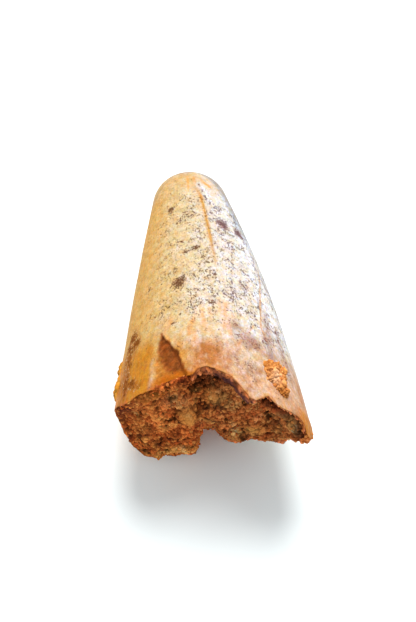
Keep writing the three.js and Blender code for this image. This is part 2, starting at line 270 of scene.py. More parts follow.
def grains(points, size, seed):
    """Packed grains: a dome of height 0 to 1 at each point, and its grain's own number."""
    scaled = points @ LATTICE / size
    cells = np.floor(scaled).astype(np.int64)
    nearest = np.full(points.shape[:-1], 9.0)
    second = nearest.copy()
    tone = np.zeros(points.shape[:-1])
    for step in itertools.product((-1, 0, 1), repeat=3):
        cell = cells + np.array(step)
        middle = np.stack([0.1 + 0.8 * cell_random(cell, seed + k) for k in range(3)], -1)
        apart = np.linalg.norm(scaled - cell - middle, axis=-1)
        closer = apart < nearest
        second = np.where(closer, nearest, np.minimum(second, apart))
        nearest = np.where(closer, apart, nearest)
        tone = np.where(closer, cell_random(cell, seed + 3), tone)
    gap = np.clip((second - nearest) / 0.5, 0, 1)
    return np.sqrt(gap * (2 - gap)), tone


def smooth(value, low, high):
    """0 below low, 1 above high, smooth between."""
    share = np.clip((value - low) / (high - low), 0, 1)
    return share * share * (3 - 2 * share)


def mix(a, b, share):
    return a + (b - a) * share


def window(value, rise, full, fall, gone):
    """0 below rise, 1 from full to fall, and 0 again past gone."""
    return smooth(value, rise, full) * (1 - smooth(value, fall, gone))


def bell(value, width):
    return np.exp(-((value / width) ** 2))


def turn_from(around, start):
    """The turn from this angle, from -180 to 180 degrees."""
    return np.mod(around - start + 180, 360) - 180


def over(rgb, colour, mask):
    """Colours with another laid over them, as densely as the mask says."""
    return mix(rgb, colour, np.clip(mask, 0, 1)[..., None])


# ---- The tooth's form ----

class Tooth:
    """The crown's form in millimetres, from the sizes, and its place in the CAD frame."""

    wear_start, rim_wear = 49, 0.06
    pulp_taper = 0.7

    def __init__(self, sizes):
        self.length = sizes.crown_length / MM
        self.tip = sizes.tip_radius / MM
        self.bulge = sizes.flank_bulge / MM
        self.bow = sizes.axis_bow / MM
        self.wall = sizes.wall / MM
        self.pulp = sizes.pulp_depth / MM
        self.flank = sizes.flank_angle
        self.height = sizes.section_height
        self.span = self.length - self.tip * (1 - math.sin(self.flank))
        self.shoulder_angle = math.atan(math.tan(self.flank) + self.bulge * math.pi / self.span)
        self.shoulder = self.tip * (1 - math.sin(self.shoulder_angle))
        self.cavity_top = self.length - self.pulp
        lay = math.atan(self.height * math.tan(self.flank))
        self.turn = Matrix.Rotation(-(math.pi / 2 + lay), 3, "X")
        corners = [v.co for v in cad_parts["tooth_crown"].data.vertices]
        tip = max(corners, key=lambda corner: corner.y)
        self.place = tip / MM - self.turn @ Vector((0, 0, self.length))

    def outer_radius(self, from_tip):
        past = from_tip - self.shoulder
        cone = self.tip * math.cos(self.shoulder_angle) + math.tan(self.flank) * past
        cone = cone + self.bulge * np.sin(math.pi * past / self.span)
        cone = cone - self.rim_wear * np.maximum(0, from_tip - self.wear_start) ** 2
        ball = np.sqrt(np.maximum(0, from_tip * (2 * self.tip - from_tip)))
        return np.where(from_tip < self.shoulder, ball, cone)

    def cavity_radius(self, from_tip):
        down = np.clip((from_tip - self.cavity_top) / self.pulp, 0, 1)
        open_share = np.sin(math.pi / 2 * down) ** self.pulp_taper
        return (self.outer_radius(from_tip) - self.wall) * open_share

    def carina_relief(self, from_tip, around):
        relief = 0
        for ridge, height, width, end in CARINAE:
            fade = window(from_tip, 1, 5, end / 2, end)
            relief = relief + height * bell(around - ridge, width) * fade
        return relief

    def section(self, from_tip, around, half_width):
        share = from_tip / self.length
        angle = np.radians(around)
        x = self.bow * 4 * share * (1 - share) + half_width * np.cos(angle)
        y = -self.height * half_width * np.sin(angle)
        return np.stack(np.broadcast_arrays(x, y, self.length - from_tip), -1)

    def axis_point(self, from_tip):
        return self.section(from_tip, 0, 0)[None]

    def skin_point(self, from_tip, around):
        radius = self.outer_radius(from_tip) + self.carina_relief(from_tip, around)
        return self.section(from_tip, around, radius)

    def notch_limit(self, x, up):
        """The reach that the notch leaves standing."""
        bottom = self.height * self.outer_radius(self.length)
        return np.interp(x, NOTCH[:, 0], NOTCH[:, 1], 60, 60) + NOTCH_RISE * (up + bottom)

    def break_reach(self, around):
        return np.interp(np.mod(around, 360), BREAK_LINE[:, 0], BREAK_LINE[:, 1])

    def rim(self, around, radius_at):
        """The broken rim's reach, cut back by the notch where the wall has this radius."""
        reach = self.break_reach(around)
        for _ in range(3):
            point = self.section(self.length + reach, around, radius_at(self.length + reach))
            limit = self.notch_limit(point[..., 0], -point[..., 1])
            reach = np.minimum(self.break_reach(around), mix(reach, limit, 0.7))
        return np.minimum(reach, np.maximum(limit, -7))

    def laid_down(self, points):
        """Points of the tooth's frame, moved to the CAD frame in metres, none below z = 0."""
        placed = (points @ np.array(self.turn).T + np.array(self.place)) * MM
        placed[:, 2] = np.maximum(placed[:, 2], 0)
        return placed


# ---- Meshes ----

def in_scene(name, data):
    """A new object for a mesh, a light or a camera, in the scene."""
    made = bpy.data.objects.new(name, data)
    bpy.context.scene.collection.objects.link(made)
    return made


def mesh_object(name, points, faces, layers):
    """A smooth mesh object, with a colour or a number at each point for each layer."""
    mesh = bpy.data.meshes.new(name)
    mesh.from_pydata(points.tolist(), [], faces)
    for layer, values in layers.items():
        coloured = values.ndim == 2
        kind = "FLOAT_COLOR" if coloured else "FLOAT"
        attribute = mesh.attributes.new(layer, kind, "POINT")
        field = "color" if coloured else "value"
        attribute.data.foreach_set(field, np.ascontiguousarray(values, np.float32).ravel())
    mesh.polygons.foreach_set("use_smooth", [True] * len(mesh.polygons))
    mesh.update()
    return in_scene(name, mesh)


def rings_to_faces(rings, columns):
    """Faces of a closed skin: point 0, then the rings, then the last point."""
    faces = []
    last = 1 + rings * columns
    for k in range(columns):
        n = (k + 1) % columns
        faces.append((0, 1 + n, 1 + k))
        faces.append((last, last - columns + k, last - columns + n))
    ring, k = np.meshgrid(np.arange(rings - 1), np.arange(columns), indexing="ij")
    n = (k + 1) % columns
    at = 1 + ring * columns
    quads = np.stack([at + k, at + n, at + columns + n, at + columns + k], -1).reshape(-1, 4)
    return faces + quads.tolist()


def grid_normals(points):
    """Normals of a grid of points, from its rows and columns."""
    across = np.gradient(points, axis=1)
    down = np.gradient(points, axis=0)
    normal = np.cross(across, down)
    return normal / np.maximum(np.linalg.norm(normal, axis=-1, keepdims=True), 1e-9)


def with_alpha(rgb, alpha):
    return np.concatenate([rgb, np.broadcast_to(alpha, rgb.shape[:-1])[..., None]], -1)


# ---- Sand ----

def sand_surface(points, normals, sizes, colours, seed, amount=1.0):
    """Points with packed grains raised on them, and the colour of each, with painted shade in the
    crevices and holes between them.
    """
    size, relief = sizes.grain / MM, sizes.grain_relief / MM
    clods, clod_tone = grains(points, size * 5.2, seed + 40)
    lumps, lump_tone = grains(points, size * 2.4, seed)
    medium, tone = grains(points + 0.08 * normals, size * 1.35, seed + 10)
    fine, fine_tone = grains(points, size * 0.70, seed + 20)
    medium, lumps = medium**1.6, lumps**1.3
    height = 2.3 * clods + 1.8 * lumps + medium * (0.8 + 0.8 * tone) + 0.3 * fine - 3.2
    patches = fractal(points, 3.2, seed + 30)
    light = 0.34 * tone + 0.12 * fine_tone + 0.30 * lump_tone + 0.24 * clod_tone + 0.36 * patches
    palette = np.array([colours.sand_dark, colours.sand, colours.sand_light, colours.quartz])
    stops = (0.10, 0.45, 0.80, 1.05)
    rgb = np.stack([np.interp(light, stops, palette[:, k]) for k in range(3)], -1)
    hue = np.clip(1.7 * fractal(points, 2.2, seed + 50), -1, 1)[..., None]
    rgb = rgb * (1.05 + hue * (0.12, -0.24, -0.32))
    # Painted shade: darker in the crevices between the grains and in the holes.
    packed = medium * (0.3 + 0.7 * lumps) * (0.5 + 0.5 * clods) * (0.6 + 0.4 * fine)
    holes = smooth(fractal(points, size * 2.1, seed + 60), 0.10, 0.42)
    crevice = (0.42 + 0.78 * smooth(packed, 0.02, 0.5)) * (1 - 0.82 * holes)
    height = height - 1.6 * holes
    return points + normals * (relief * height * amount)[..., None], rgb * crevice[..., None]


# ---- The sandstone's face ----

def wave_rumple(x, y, wavelength):
    """A gentle rumple from -1 to 1, of three crossing waves."""
    k = 2 * math.pi / wavelength
    a = np.sin(k * (0.92 * x + 0.39 * y) + 1.3)
    b = np.sin(k * 1.31 * (-0.31 * x + 0.95 * y) + 4.1)
    c = np.sin(k * 1.73 * (0.68 * x - 0.73 * y) + 2.2)
    return (a + b + c) / 3


def bump(x, y, at_x, at_y, size_x, size_y):
    return bell(x - at_x, size_x) * bell(y - at_y, size_y)


def open_face_reach(x, up):
    """The broken face away from the rim: a block on the left, hollows and pebbles."""
    reach = -0.4 + 0.2 * x + 0.1 * up
    reach = reach + 0.45 * (wave_rumple(x, up, 5.5) + wave_rumple(up, x, 2.75) / 2)
    on_block = 1 - smooth(x, -2.5, -0.9)
    reach = reach + 1.3 * on_block * (1 - smooth(up, 1, 8))
    reach = reach - 0.65 * (1 - on_block) * np.maximum(0, -4.5 - up)
    for at_x, at_up, size_x, size_up, depth in HOLLOWS:
        reach = reach - depth * bump(x, up, at_x, at_up, size_x, size_up)
    for at_x, at_up, radius, height, _ in PEBBLES:
        reach = reach + height * bump(x, up, at_x, at_up, radius, radius)
    return reach


def sand_cover(around):
    """1 where the sand lies over the wall's broken edge, down the left side."""
    return window(np.mod(around, 360), 97, 104, 253, 264)


def wall_swell(around):
    """How much thicker the wall's broken edge is than the wall, less where it broke thin."""
    turn = turn_from(around, 0)
    return 0.35 * bell(turn - 84, 13) - 0.85 * window(turn, 8, 22, 58, 70)


def recess_at(around):
    """How far the sandstone's face lies inside the rim."""
    recess = 0.25
    for middle, width, depth in DEEP_RECESSES:
        recess = recess + depth * bell(turn_from(around, middle), width)
    return mix(recess, -0.12, sand_cover(around))


def disc_grid(steps):
    """A square grid mapped evenly onto the unit disc: share of the radius, and angle."""
    a, b = np.meshgrid(np.linspace(-1, 1, steps), np.linspace(-1, 1, steps))
    share = np.maximum(abs(a), abs(b))
    wide = abs(a) >= abs(b)
    near = np.where(wide, a, b)
    far = np.where(wide, b, a)
    slant = np.pi / 4 * far / np.where(near == 0, 1, near)
    angle = np.where(wide, slant, np.pi / 2 - slant) + np.where(near < 0, np.pi, 0)
    return share, np.degrees(angle)


def sandstone_face(tooth, steps):
    """The broken face as a grid of points, one row after another."""
    share, around = disc_grid(steps)
    broken_reach = tooth.break_reach(around) - recess_at(around)
    edge_reach = broken_reach
    for _ in range(3):
        edge = tooth.length + edge_reach
        cover = sand_cover(around)
        inside = tooth.cavity_radius(edge) + 0.15 - np.minimum(wall_swell(around), 0)
        radius = mix(inside, tooth.outer_radius(edge) - 0.2, cover)
        rim = tooth.section(edge, around, radius)
        limit = tooth.notch_limit(rim[..., 0], -rim[..., 1])
        edge_reach = np.minimum(broken_reach, limit)
    x, up = share * rim[..., 0], -share * rim[..., 1]
    inner = np.hypot(x, up / tooth.height) / tooth.cavity_radius(tooth.length)
    reach = mix(open_face_reach(x, up), broken_reach, smooth(inner, 0.76, 1))
    reach = reach - 0.25 * sand_cover(around) * smooth(share, 0.975, 1)
    reach = np.minimum(reach, np.maximum(tooth.notch_limit(x, up), -8))
    return np.stack([x, -up, -reach], -1), share, around


# ---- Enamel ----

class Skin:
    """The crown's outer skin as it is painted: each point's place on the tooth."""

    def __init__(self, tooth, points, from_tip, around):
        self.tooth, self.points = tooth, points
        self.from_tip, self.around = from_tip, around
        self.drift_along = 0.45 * self.noise(1.6, 71)
        self.drift_across = 0.45 * self.noise(1.6, 75)

    def noise(self, size, seed, along=1.0):
        """Noise on the skin, drawn out down the tooth where along is below 1."""
        return fractal(self.points * (1, 1, along), size, seed)

    def across(self, around, from_tip):
        """Millimetres round the tooth from this angle."""
        turn = turn_from(self.around, around)
        return np.radians(turn) * self.tooth.outer_radius(from_tip)

    def stain(self, from_tip, around, half_length, half_width, edge=0.5, drift=1.0):
        """1 inside a stain and 0 outside, with an edge this soft and this ragged."""
        along = self.from_tip - from_tip + drift * self.drift_along
        across = self.across(around, from_tip) + drift * self.drift_across
        far = np.hypot(along / half_length, across / half_width)
        return 1 - smooth(far, 1 - edge, 1 + edge)

    def densest(self, stains, edge, drift=1.0):
        """The densest of these stains at each point, each with its strength at the end."""
        return np.maximum.reduce([
            self.stain(*place, edge, drift) * strength for *place, strength in stains])

    def line(self, path, half_width, drift=0.3):
        """A stripe along a path of (from tip, around), as wide at both ends as in the middle."""
        path = np.array(path)
        around = np.interp(self.from_tip, path[:, 0], path[:, 1])
        across = self.across(around, self.from_tip) + drift * self.drift_across
        first, last = path[0, 0], path[-1, 0]
        ends = window(self.from_tip, first - 0.6, first + 0.4, last - 1, last + 0.5)
        return bell(across, half_width) * ends

    def rim_stripe(self, width):
        """1 along the broken rim, gone this many millimetres and more above it."""
        to_rim = self.tooth.length + self.tooth.break_reach(self.around) - self.from_tip
        return bell(np.maximum(to_rim, 0), width)

    def zone(self, low, high, soft):
        """1 between two angles, soft degrees wide at each border."""
        turn = np.mod(self.around - low + soft, 360) + low - soft
        return window(turn, low - soft, low + soft, high - soft, high + soft)


# Stains and flecks: from tip, around, half length, half width, strength.
DARK_CLUSTERS = [
    (11.9, 117.5, 1.2, 0.6, 0.9), (9.1, 105, 0.5, 0.6, 0.55), (13.3, 97.5, 1.0, 1.2, 0.55),
    (11.6, 88.5, 1.2, 1.0, 0.5), (15.7, 95.5, 1.0, 0.9, 0.5), (19.9, 103.5, 0.5, 0.35, 0.95),
    (21.9, 93, 0.45, 0.7, 0.85), (22.3, 101, 0.45, 0.7, 0.75), (23.2, 111.5, 0.9, 0.6, 0.45),
    (28.4, 107.5, 1.1, 1.2, 0.95), (27.8, 104.5, 0.7, 0.6, 0.8), (36.2, 111, 0.35, 0.35, 0.8),
    (33.2, 85, 0.7, 0.7, 0.75), (27.8, 79, 0.8, 0.4, 0.7), (28.5, 87.5, 0.7, 0.35, 0.65),
    (31.9, 94.5, 0.5, 0.5, 0.6), (27.8, 134, 0.9, 0.5, 0.5), (33.7, 125, 0.4, 0.25, 0.7),
    (25.5, 92, 1.0, 1.4, 0.4), (30.5, 100, 0.7, 1.5, 0.35), (25.2, 122, 0.8, 0.8, 0.4),
    (15.0, 108, 1.2, 1.0, 0.35), (18.0, 128, 0.6, 1.0, 0.35),
]
LILAC_CLUSTERS = [
    (6.8, 76.5, 0.8, 0.35, 0.75), (8.1, 74.5, 0.9, 0.35, 0.8), (9.6, 73, 0.7, 0.35, 0.65),
    (15.9, 60.5, 1.4, 1.15, 1.0), (16.6, 41, 1.6, 1.1, 0.95), (21.4, 58.5, 0.6, 0.9, 0.6),
    (29.4, 57.5, 1.3, 0.9, 0.8), (24.5, 48, 1.6, 2.0, 0.45), (31.0, 67, 0.8, 0.8, 0.4),
    (10.5, 66, 1.2, 0.5, 0.5), (19.0, 45, 1.4, 1.2, 0.5), (27.2, 66, 1.0, 1.2, 0.5),
    (35.5, 66, 0.5, 0.5, 0.5), (33.0, 50, 1.0, 1.2, 0.35), (24.0, 34, 3.0, 0.7, 0.5),
]
MAUVE_SMUDGES = [
    (39.6, 64.5, 1.5, 1.5, 1.0), (40.4, 60, 1.3, 1.3, 1.0), (37.6, 71, 1.2, 0.8, 0.85),
    (33.6, 43.5, 0.9, 0.7, 0.7), (35.6, 45, 1.3, 0.8, 0.75), (38.2, 47, 1.7, 1.1, 0.9),
    (41.9, 48, 0.9, 1.6, 0.85), (42.8, 34, 2.4, 0.7, 0.8), (45.2, 66, 1.2, 1.1, 0.7),
    (43.4, 74, 1.4, 0.5, 0.6), (39.0, 35, 2.6, 0.7, 0.7), (37.8, 71, 0.5, 1.1, 0.7),
]
BROWN_PATCHES = [
    (35.9, 147.5, 1.9, 1.6, 1.0), (38.7, 153, 2.4, 1.1, 0.95), (41.3, 158, 1.6, 1.3, 0.75),
    (43.0, 150, 2.2, 1.0, 1.0), (43.6, 141, 1.1, 1.0, 0.9), (44.8, 136, 0.6, 0.9, 0.6),
    (40.9, 138, 0.6, 0.6, 0.5),
]
# Paths, as (from tip, around).
ORANGE_STRIPE = [(6.7, 84.5), (9.3, 79), (12.9, 78.5), (19, 78.5), (25.8, 77.4)]
TIP_STREAK = [(6.0, 77), (9, 71.5), (12, 68)]
FLAKE_LEFT_EDGE = [(37.6, 122.6), (42, 124.8), (47.5, 125.8)]
ORANGE_STREAKS = [  # path, half width, strength
    ([(4.2, 92), (8.2, 93)], 0.17, 0.6), ([(4.4, 83), (6.6, 82)], 0.16, 0.5),
    ([(5.4, 69), (6.9, 59)], 0.38, 1.0), ([(33.0, 75), (36.0, 76.5)], 0.35, 0.5),
    ([(34.5, 91.5), (38.7, 90.5)], 0.40, 0.45), ([(34.3, 86), (37.8, 86)], 0.30, 0.35),
    ([(32.5, 79), (35.5, 80)], 0.28, 0.4), ([(36.5, 98), (41.5, 97)], 0.5, 0.35),
    ([(37.5, 118), (39.5, 113)], 0.3, 0.4),
]
CRACKS = [  # path, half width, strength
    ([(23, 28), (28.2, 39), (32.5, 46), (36.8, 51), (39.0, 49)], 0.13, 0.8),
    ([(36.8, 56.5), (39.0, 63.5)], 0.14, 0.6), ([(40.2, 68), (41.6, 72)], 0.14, 0.6),
]

# Where each flank turns down to the floor, which the painted shade along the outline follows: from
# tip, around.
RIGHT_FLANK = [
    (2.5, 70), (3.8, 52), (6, 39), (8.7, 35), (11.6, 32), (17, 28), (23, 25), (35, 22), (46, 18),
]
LEFT_FLANK = [(2.6, 104), (3.5, 118), (5.5, 140), (7.9, 152), (10, 165), (14, 172), (46, 176)]

STRIAE_ROUND = 84  # fine ridges round the tooth


def flake_depth(tooth, from_tip, around):
    """The lost flake: its depth, where its floor shows, and how far across it, from the left."""
    top = FLAKE[0, 0]
    left, right, shallow, deep = (
        np.interp(from_tip, FLAKE[:, 0], FLAKE[:, k]) for k in (1, 2, 3, 4))
    arc = np.radians(1) * tooth.outer_radius(from_tip)
    wobble = 0.16 * wave_rumple(from_tip, around * arc, 1.7)
    from_left = (left - around) * arc + wobble
    to_right = (around - right) * arc + wobble
    across = np.clip(from_left / np.maximum(from_left + to_right, 1e-6), 0, 1)
    past_left = smooth(from_left, -0.05, 0.45)
    inside = past_left * smooth(to_right, -0.10, 0.32) * (from_tip > top)
    painted = past_left * smooth(to_right, -0.34, -0.06) * smooth(from_tip, top - 0.2, top + 0.1)
    return inside * mix(shallow, deep, across**0.8), painted, across


def crust_height(skin):
    """How far the crust stands out, as three domes and a thin skin round them."""
    height = 0
    for from_tip, around, half_across, half_along, out in CRUST:
        along = (skin.from_tip - from_tip) / half_along
        across = skin.across(around, from_tip) / half_across
        height = np.maximum(height, out * np.sqrt(np.maximum(0, 1 - along**2 - across**2)))
    rough_side = smooth(skin.from_tip, 34, 37.5) * skin.zone(150, 262, 6)
    rough_end = smooth(skin.from_tip, 48.2, 49.4) * (1 - skin.zone(33, 340, 4))
    return height + 0.07 * np.maximum(rough_side, rough_end)


def enamel_relief(skin, sizes):
    """How far the skin stands out at each point, and the marks on it that its paint follows."""
    down, around = skin.from_tip, skin.around
    depth, flake, across = flake_depth(skin.tooth, down, around)
    crust = crust_height(skin)
    crumbs, crumb_tone = grains(skin.points, 0.55, 61)
    knobbly, _ = grains(skin.points, 1.2, 63)
    striae = np.sin(np.radians(around) * STRIAE_ROUND + 2.5 * skin.noise(6, 47))
    out = skin.tooth.carina_relief(down, around)
    out = out - depth * (1 + 0.10 * skin.noise(0.4375, 45, 0.25))
    out = out + sizes.striae / MM * striae * smooth(down, 3, 9) * (1 - flake)
    out = out + 0.035 * skin.noise(2.4, 49) * smooth(down, 1, 4)
    out = out + crust * (0.35 + 0.45 * crumbs + 0.45 * knobbly)
    out = out + 0.05 * flake * skin.noise(0.5, 53)
    pits = skin.densest(DARK_CLUSTERS + LILAC_CLUSTERS, 0.7, 0.7)
    out = out - 0.05 * pits * (0.6 + 0.4 * skin.noise(0.5, 55))
    for path, half_width, strength in CRACKS:
        out = out - 0.05 * strength * skin.line(path, half_width, 0.25)
    return out, SimpleNamespace(flake=flake, across=across, crust=crust, crumb_tone=crumb_tone)


class Enamel:
    """The enamel's paint: colours laid one over another, and the flecks among them."""

    def __init__(self, skin, marks, colours):
        self.skin, self.marks, self.c = skin, marks, palette(colours)
        self.patchy = skin.noise(2.2, 85)
        self.streaky = skin.noise(0.8, 93, 0.3)
        self.streaks = skin.noise(1.1, 99, 0.22)
        # The stained band above the break, and the ragged tongues over it.
        border = 40.2 + 2.2 * skin.noise(1.5, 88, 0.3)
        self.band = smooth(skin.from_tip, border - 1.8, border + 1.8)
        self.tongue = smooth(skin.from_tip, 32.5, 36.5) * (1 - self.band) * skin.zone(60, 118, 8)
        crumbs = skin.densest(BROWN_PATCHES, 0.45, 1.9)
        self.crumbly = crumbs * (1 - 0.7 * smooth(skin.noise(0.5, 121), 0.16, 0.42))
        self.rgb = self.bare()

    def bare(self):
        """The enamel without its stains: chalky, cream, golden and ochre round the tooth."""
        c, turn = self.c, np.mod(self.skin.around, 360)
        dull_chalk = c.chalk * 0.97
        bands = [
            (0, dull_chalk), (66, c.chalk), (76, c.chalk * 0.9 + c.cream * 0.1),
            (84, c.leached_cream), (98, mix(c.cream, c.chalk, 0.18)),
            (114, mix(c.cream, c.gold, 0.2) * 0.98), (140, mix(c.cream, c.gold, 0.75)),
            (165, c.gold), (200, c.ochre), (250, c.ochre), (300, mix(c.ochre, c.cream, 0.5)),
            (340, dull_chalk), (360, dull_chalk)]
        wander = 7 * self.skin.noise(5, 81) * smooth(turn, 80, 110)
        turn = np.clip(turn + wander, 0, 360)
        stops, tints = zip(*bands)
        return np.stack([np.interp(turn, stops, tint) for tint in zip(*tints)], -1)

    def cover(self, *layers):
        """Lay colours over what is there, each with how densely it covers."""
        for colour, mask in layers:
            self.rgb = over(self.rgb, colour, mask)

    def shade(self, *layers):
        """Multiply what is there by tints, each with how far it counts."""
        for tint, mask in layers:
            self.rgb = over(self.rgb, self.rgb * tint, mask)

    def paint_upper_crown(self):
        """The peach tip, and chalky and cream patches further down."""
        skin, c, patchy, down = self.skin, self.c, self.patchy, self.skin.from_tip
        self.cover(
            (c.peach, (1 - smooth(down + patchy, 4.5, 8.5)) * 0.85),
            (mix(c.chalk, c.peach, 0.45), (1 - smooth(down, 5, 8)) * skin.zone(20, 74, 8) * 0.7),
            (c.chalk, skin.line(TIP_STREAK, 0.75)),
            (c.chalk, smooth(patchy, 0.15, 0.6) * skin.zone(78, 118, 12) * 0.45),
            (c.chalk, skin.stain(32.5, 92, 3.5, 1.8, 0.8, 1.2) * 0.5),
            (mix(c.chalk, c.cream, 0.7),
             smooth(patchy, 0.2, 0.7) * skin.zone(20, 78, 6) * smooth(down, 24, 34) * 0.8),
        )

    def paint_band(self):
        """The stained band above the break, rusty and rosy, with ragged tongues above it."""
        skin, c, band, down = self.skin, self.c, self.band, self.skin.from_tip
        mixed = self.patchy + self.streaky
        mottled = skin.noise(0.75, 120, 0.6)
        spots = smooth(skin.noise(1.1, 96), 0.25, 0.7)
        orange_spots = smooth(skin.noise(1.3, 94), 0.25, 0.7)
        pale_streaks = (1 - smooth(down, 42, 45)) * smooth(-self.streaks, 0.1, 0.5)
        self.cover(
            (c.blush, band * skin.zone(14, 66, 8)),
            (c.rose, band * skin.zone(60, 88, 7)),
            (c.rust, band * skin.zone(82, 101, 6) * 0.95),
            (mix(c.gold, c.rust, 0.4), band * skin.zone(100, 122, 5) * 0.95),
            (c.rust, band * skin.zone(48, 90, 9) * smooth(mixed, 0.1, 0.8) * 0.6),
            (c.blush, band * skin.zone(30, 112, 14) * smooth(-mixed, 0.1, 0.7) * 0.65),
            (c.blush * 1.1, band * pale_streaks * 0.7),
            (mix(c.mauve, c.rust, 0.5), band * spots * 0.6),
            (c.orange, band * orange_spots * 0.35),
            (c.warm_blush, band * skin.zone(34, 110, 8) * smooth(mottled, 0.12, 0.4) * 0.32),
            (c.rust * 0.72, band * skin.zone(40, 110, 8) * smooth(-mottled, 0.14, 0.42) * 0.5),
            (c.cream_patch, skin.stain(43.0, 62, 1.5, 2.6, 0.7, 1.2) * 0.75),
            (c.orange_rose, skin.stain(48.3, 49, 1.8, 2.4, 0.7, 1.2) * 0.6),
            (c.orange_rose, smooth(down, 42, 46) * skin.zone(22, 42, 6) * 0.3),
            (c.chalk, self.tongue * smooth(-self.streaks, 0.0, 0.5) * 0.75),
            (c.orange_rust * 1.15, self.tongue * smooth(self.streaks, 0.12, 0.5) * 0.45),
            (c.rust, smooth(down, 46.5, 50.5) * skin.zone(8, 40, 8) * 0.6),
            (c.rim_orange, skin.rim_stripe(0.5) * skin.zone(40, 104, 5) * 0.75),
            (c.rust * 0.7, skin.rim_stripe(0.2) * skin.zone(10, 104, 5) * 0.7),
        )

    def paint_golden_side(self):
        """Left of the flake: deep golden enamel with brown patches, and sand further round."""
        skin, c, patchy, down = self.skin, self.c, self.patchy, self.skin.from_tip
        golden = smooth(down + 0.8 * patchy, 35.5, 39.5) * skin.zone(124, 168, 5)
        tawny = smooth(down + 0.7 * patchy, 39.6, 41.6) * skin.zone(146, 178, 4)
        self.cover(
            (c.golden, golden * 0.92),
            (c.rust * 0.8, golden * smooth(self.streaky + 0.4 * patchy, 0.1, 0.7) * 0.6),
            (c.tawny, tawny * 0.95),
            (c.brown, self.crumbly * 0.9),
            (c.sand_light, smooth(down, 35, 39) * skin.zone(162, 260, 6) * 0.8),
        )

    def paint_streaks(self):
        """The orange streaks and cracks, the mauve smudges and the grey streaks."""
        skin, c, down = self.skin, self.c, self.skin.from_tip
        for path, half_width, strength in ORANGE_STREAKS:
            self.cover((c.orange, skin.line(path, half_width) * strength))
        fading = (0.95 - 0.5 * smooth(down, 19, 26)) * (0.35 + 0.65 * smooth(down, 6.5, 10))
        self.cover((c.stripe, skin.line(ORANGE_STRIPE, 0.33, 0.22) * fading))
        for *place, strength in MAUVE_SMUDGES:
            smudge = skin.stain(*place, edge=0.7) * strength
            self.cover((mix(c.mauve, c.rose, 0.3), smudge * 0.54))
        grey = smooth(skin.noise(0.62, 101, 0.22), 0.12, 0.4) * skin.zone(24, 52, 4)
        self.cover((c.grey_streak, grey * window(down, 25, 30, 41, 46) * 0.5))
        for path, half_width, strength in CRACKS:
            self.cover((c.orange * 0.8, skin.line(path, half_width, 0.25) * strength))

    def paint_flake(self):
        """The flake's floor and the pale line on its left, a painted highlight where the broken
        edge catches the light, then what covers the low end.
        """
        skin, c, patchy, down = self.skin, self.c, self.patchy, self.skin.from_tip
        _, floor_tone = grains(skin.points, 0.5, 98)
        across = self.marks.across - 0.14 * (down - 41.2) + 0.22 * patchy
        deep = smooth(across + 0.3 * (floor_tone - 0.5), -0.08, 0.22)
        gritty = 0.75 + 0.5 * floor_tone + 0.5 * skin.noise(0.45, 95)
        floor = over(c.shallow_floor, c.scar, deep) * gritty[..., None]
        # Painted highlight along the flake's left edge, where the broken enamel catches the light.
        edge_highlight = skin.line(FLAKE_LEFT_EDGE, 0.34, 0.7)
        edge_highlight = edge_highlight * smooth(self.streaky + patchy, -0.3, 0.5)
        sandy_rim = skin.rim_stripe(0.4) * skin.zone(104, 190, 5) * smooth(self.streaky, -0.5, 0.3)
        right_side, right_end = 1 - skin.zone(27, 330, 3), 1 - skin.zone(33, 340, 6)
        underside = smooth(down + 0.6 * patchy, 42.5, 44.5)
        self.cover(
            (mix(c.rose, c.chalk, 0.3), edge_highlight * 0.6),
            (floor, self.marks.flake),
            (c.chip, skin.stain(45.2, 100.2, 0.5, 0.35, 0.4, 0.3) * 0.9),
            (c.amber, skin.stain(46.0, 110, 1.4, 3.6, 0.35, 0.8) * 0.95),
            (c.sand, sandy_rim),
            (c.orange_rust * (0.78, 0.72, 0.66), smooth(down, 40, 45) * right_side * 0.7),
            (c.sand * 0.45, underside * skin.zone(172, 256, 5) * 0.85),
            (c.crust, smooth(self.marks.crust, 0.02, 0.2)),
            (c.low_edge, smooth(down + 0.5 * self.streaky, 48.0, 49.4) * right_end),
        )

    def shade_flanks(self):
        """Painted shade along the outline: soft grey low on the right and over the tip, brown on
        the left, and a painted cooler, brighter light low on the right.
        """
        down = self.skin.from_tip
        turn = np.mod(self.skin.around + 90, 360) - 90
        past = turn - np.interp(down, *zip(*RIGHT_FLANK))
        # Painted light near the right outline: a cooler, brighter cast lower down, and a dimmer,
        # bluer painted shade near the tip.
        cool = window(past, -40, -10, 18, 34) * window(down, 7, 11, 34, 39) * 0.9
        dimmer = window(past, -44, -8, 2, 16) * (1 - 0.85 * smooth(down, 13, 22))
        self.shade(
            ((1.03, 1.11, 1.24), cool),
            (1.12, cool * smooth(down, 13, 19)),
            ((0.80, 0.93, 1.07), dimmer * smooth(down, 1.5, 3)),
        )
        # Painted shade: grey along the right outline and over the tip's cap, brown along the left
        # outline.
        bloom = window(past, -34, -6, -3, 12) * (0.8 - 0.35 * smooth(down, 8, 18))
        bloom = bloom * window(down, 1.8, 3.0, 26, 42)
        cap = window(down, 1.0, 2.1, 2.3, 3.1) * self.skin.zone(40, 140, 24)
        past = turn - np.interp(down, *zip(*LEFT_FLANK))
        shadow = window(past, 0, 7, 9, 30) * window(down, 1.8, 3.0, 11, 18)
        self.cover((self.c.bloom, np.maximum(bloom, cap * 0.65)), (self.c.contour, shadow * 0.5))

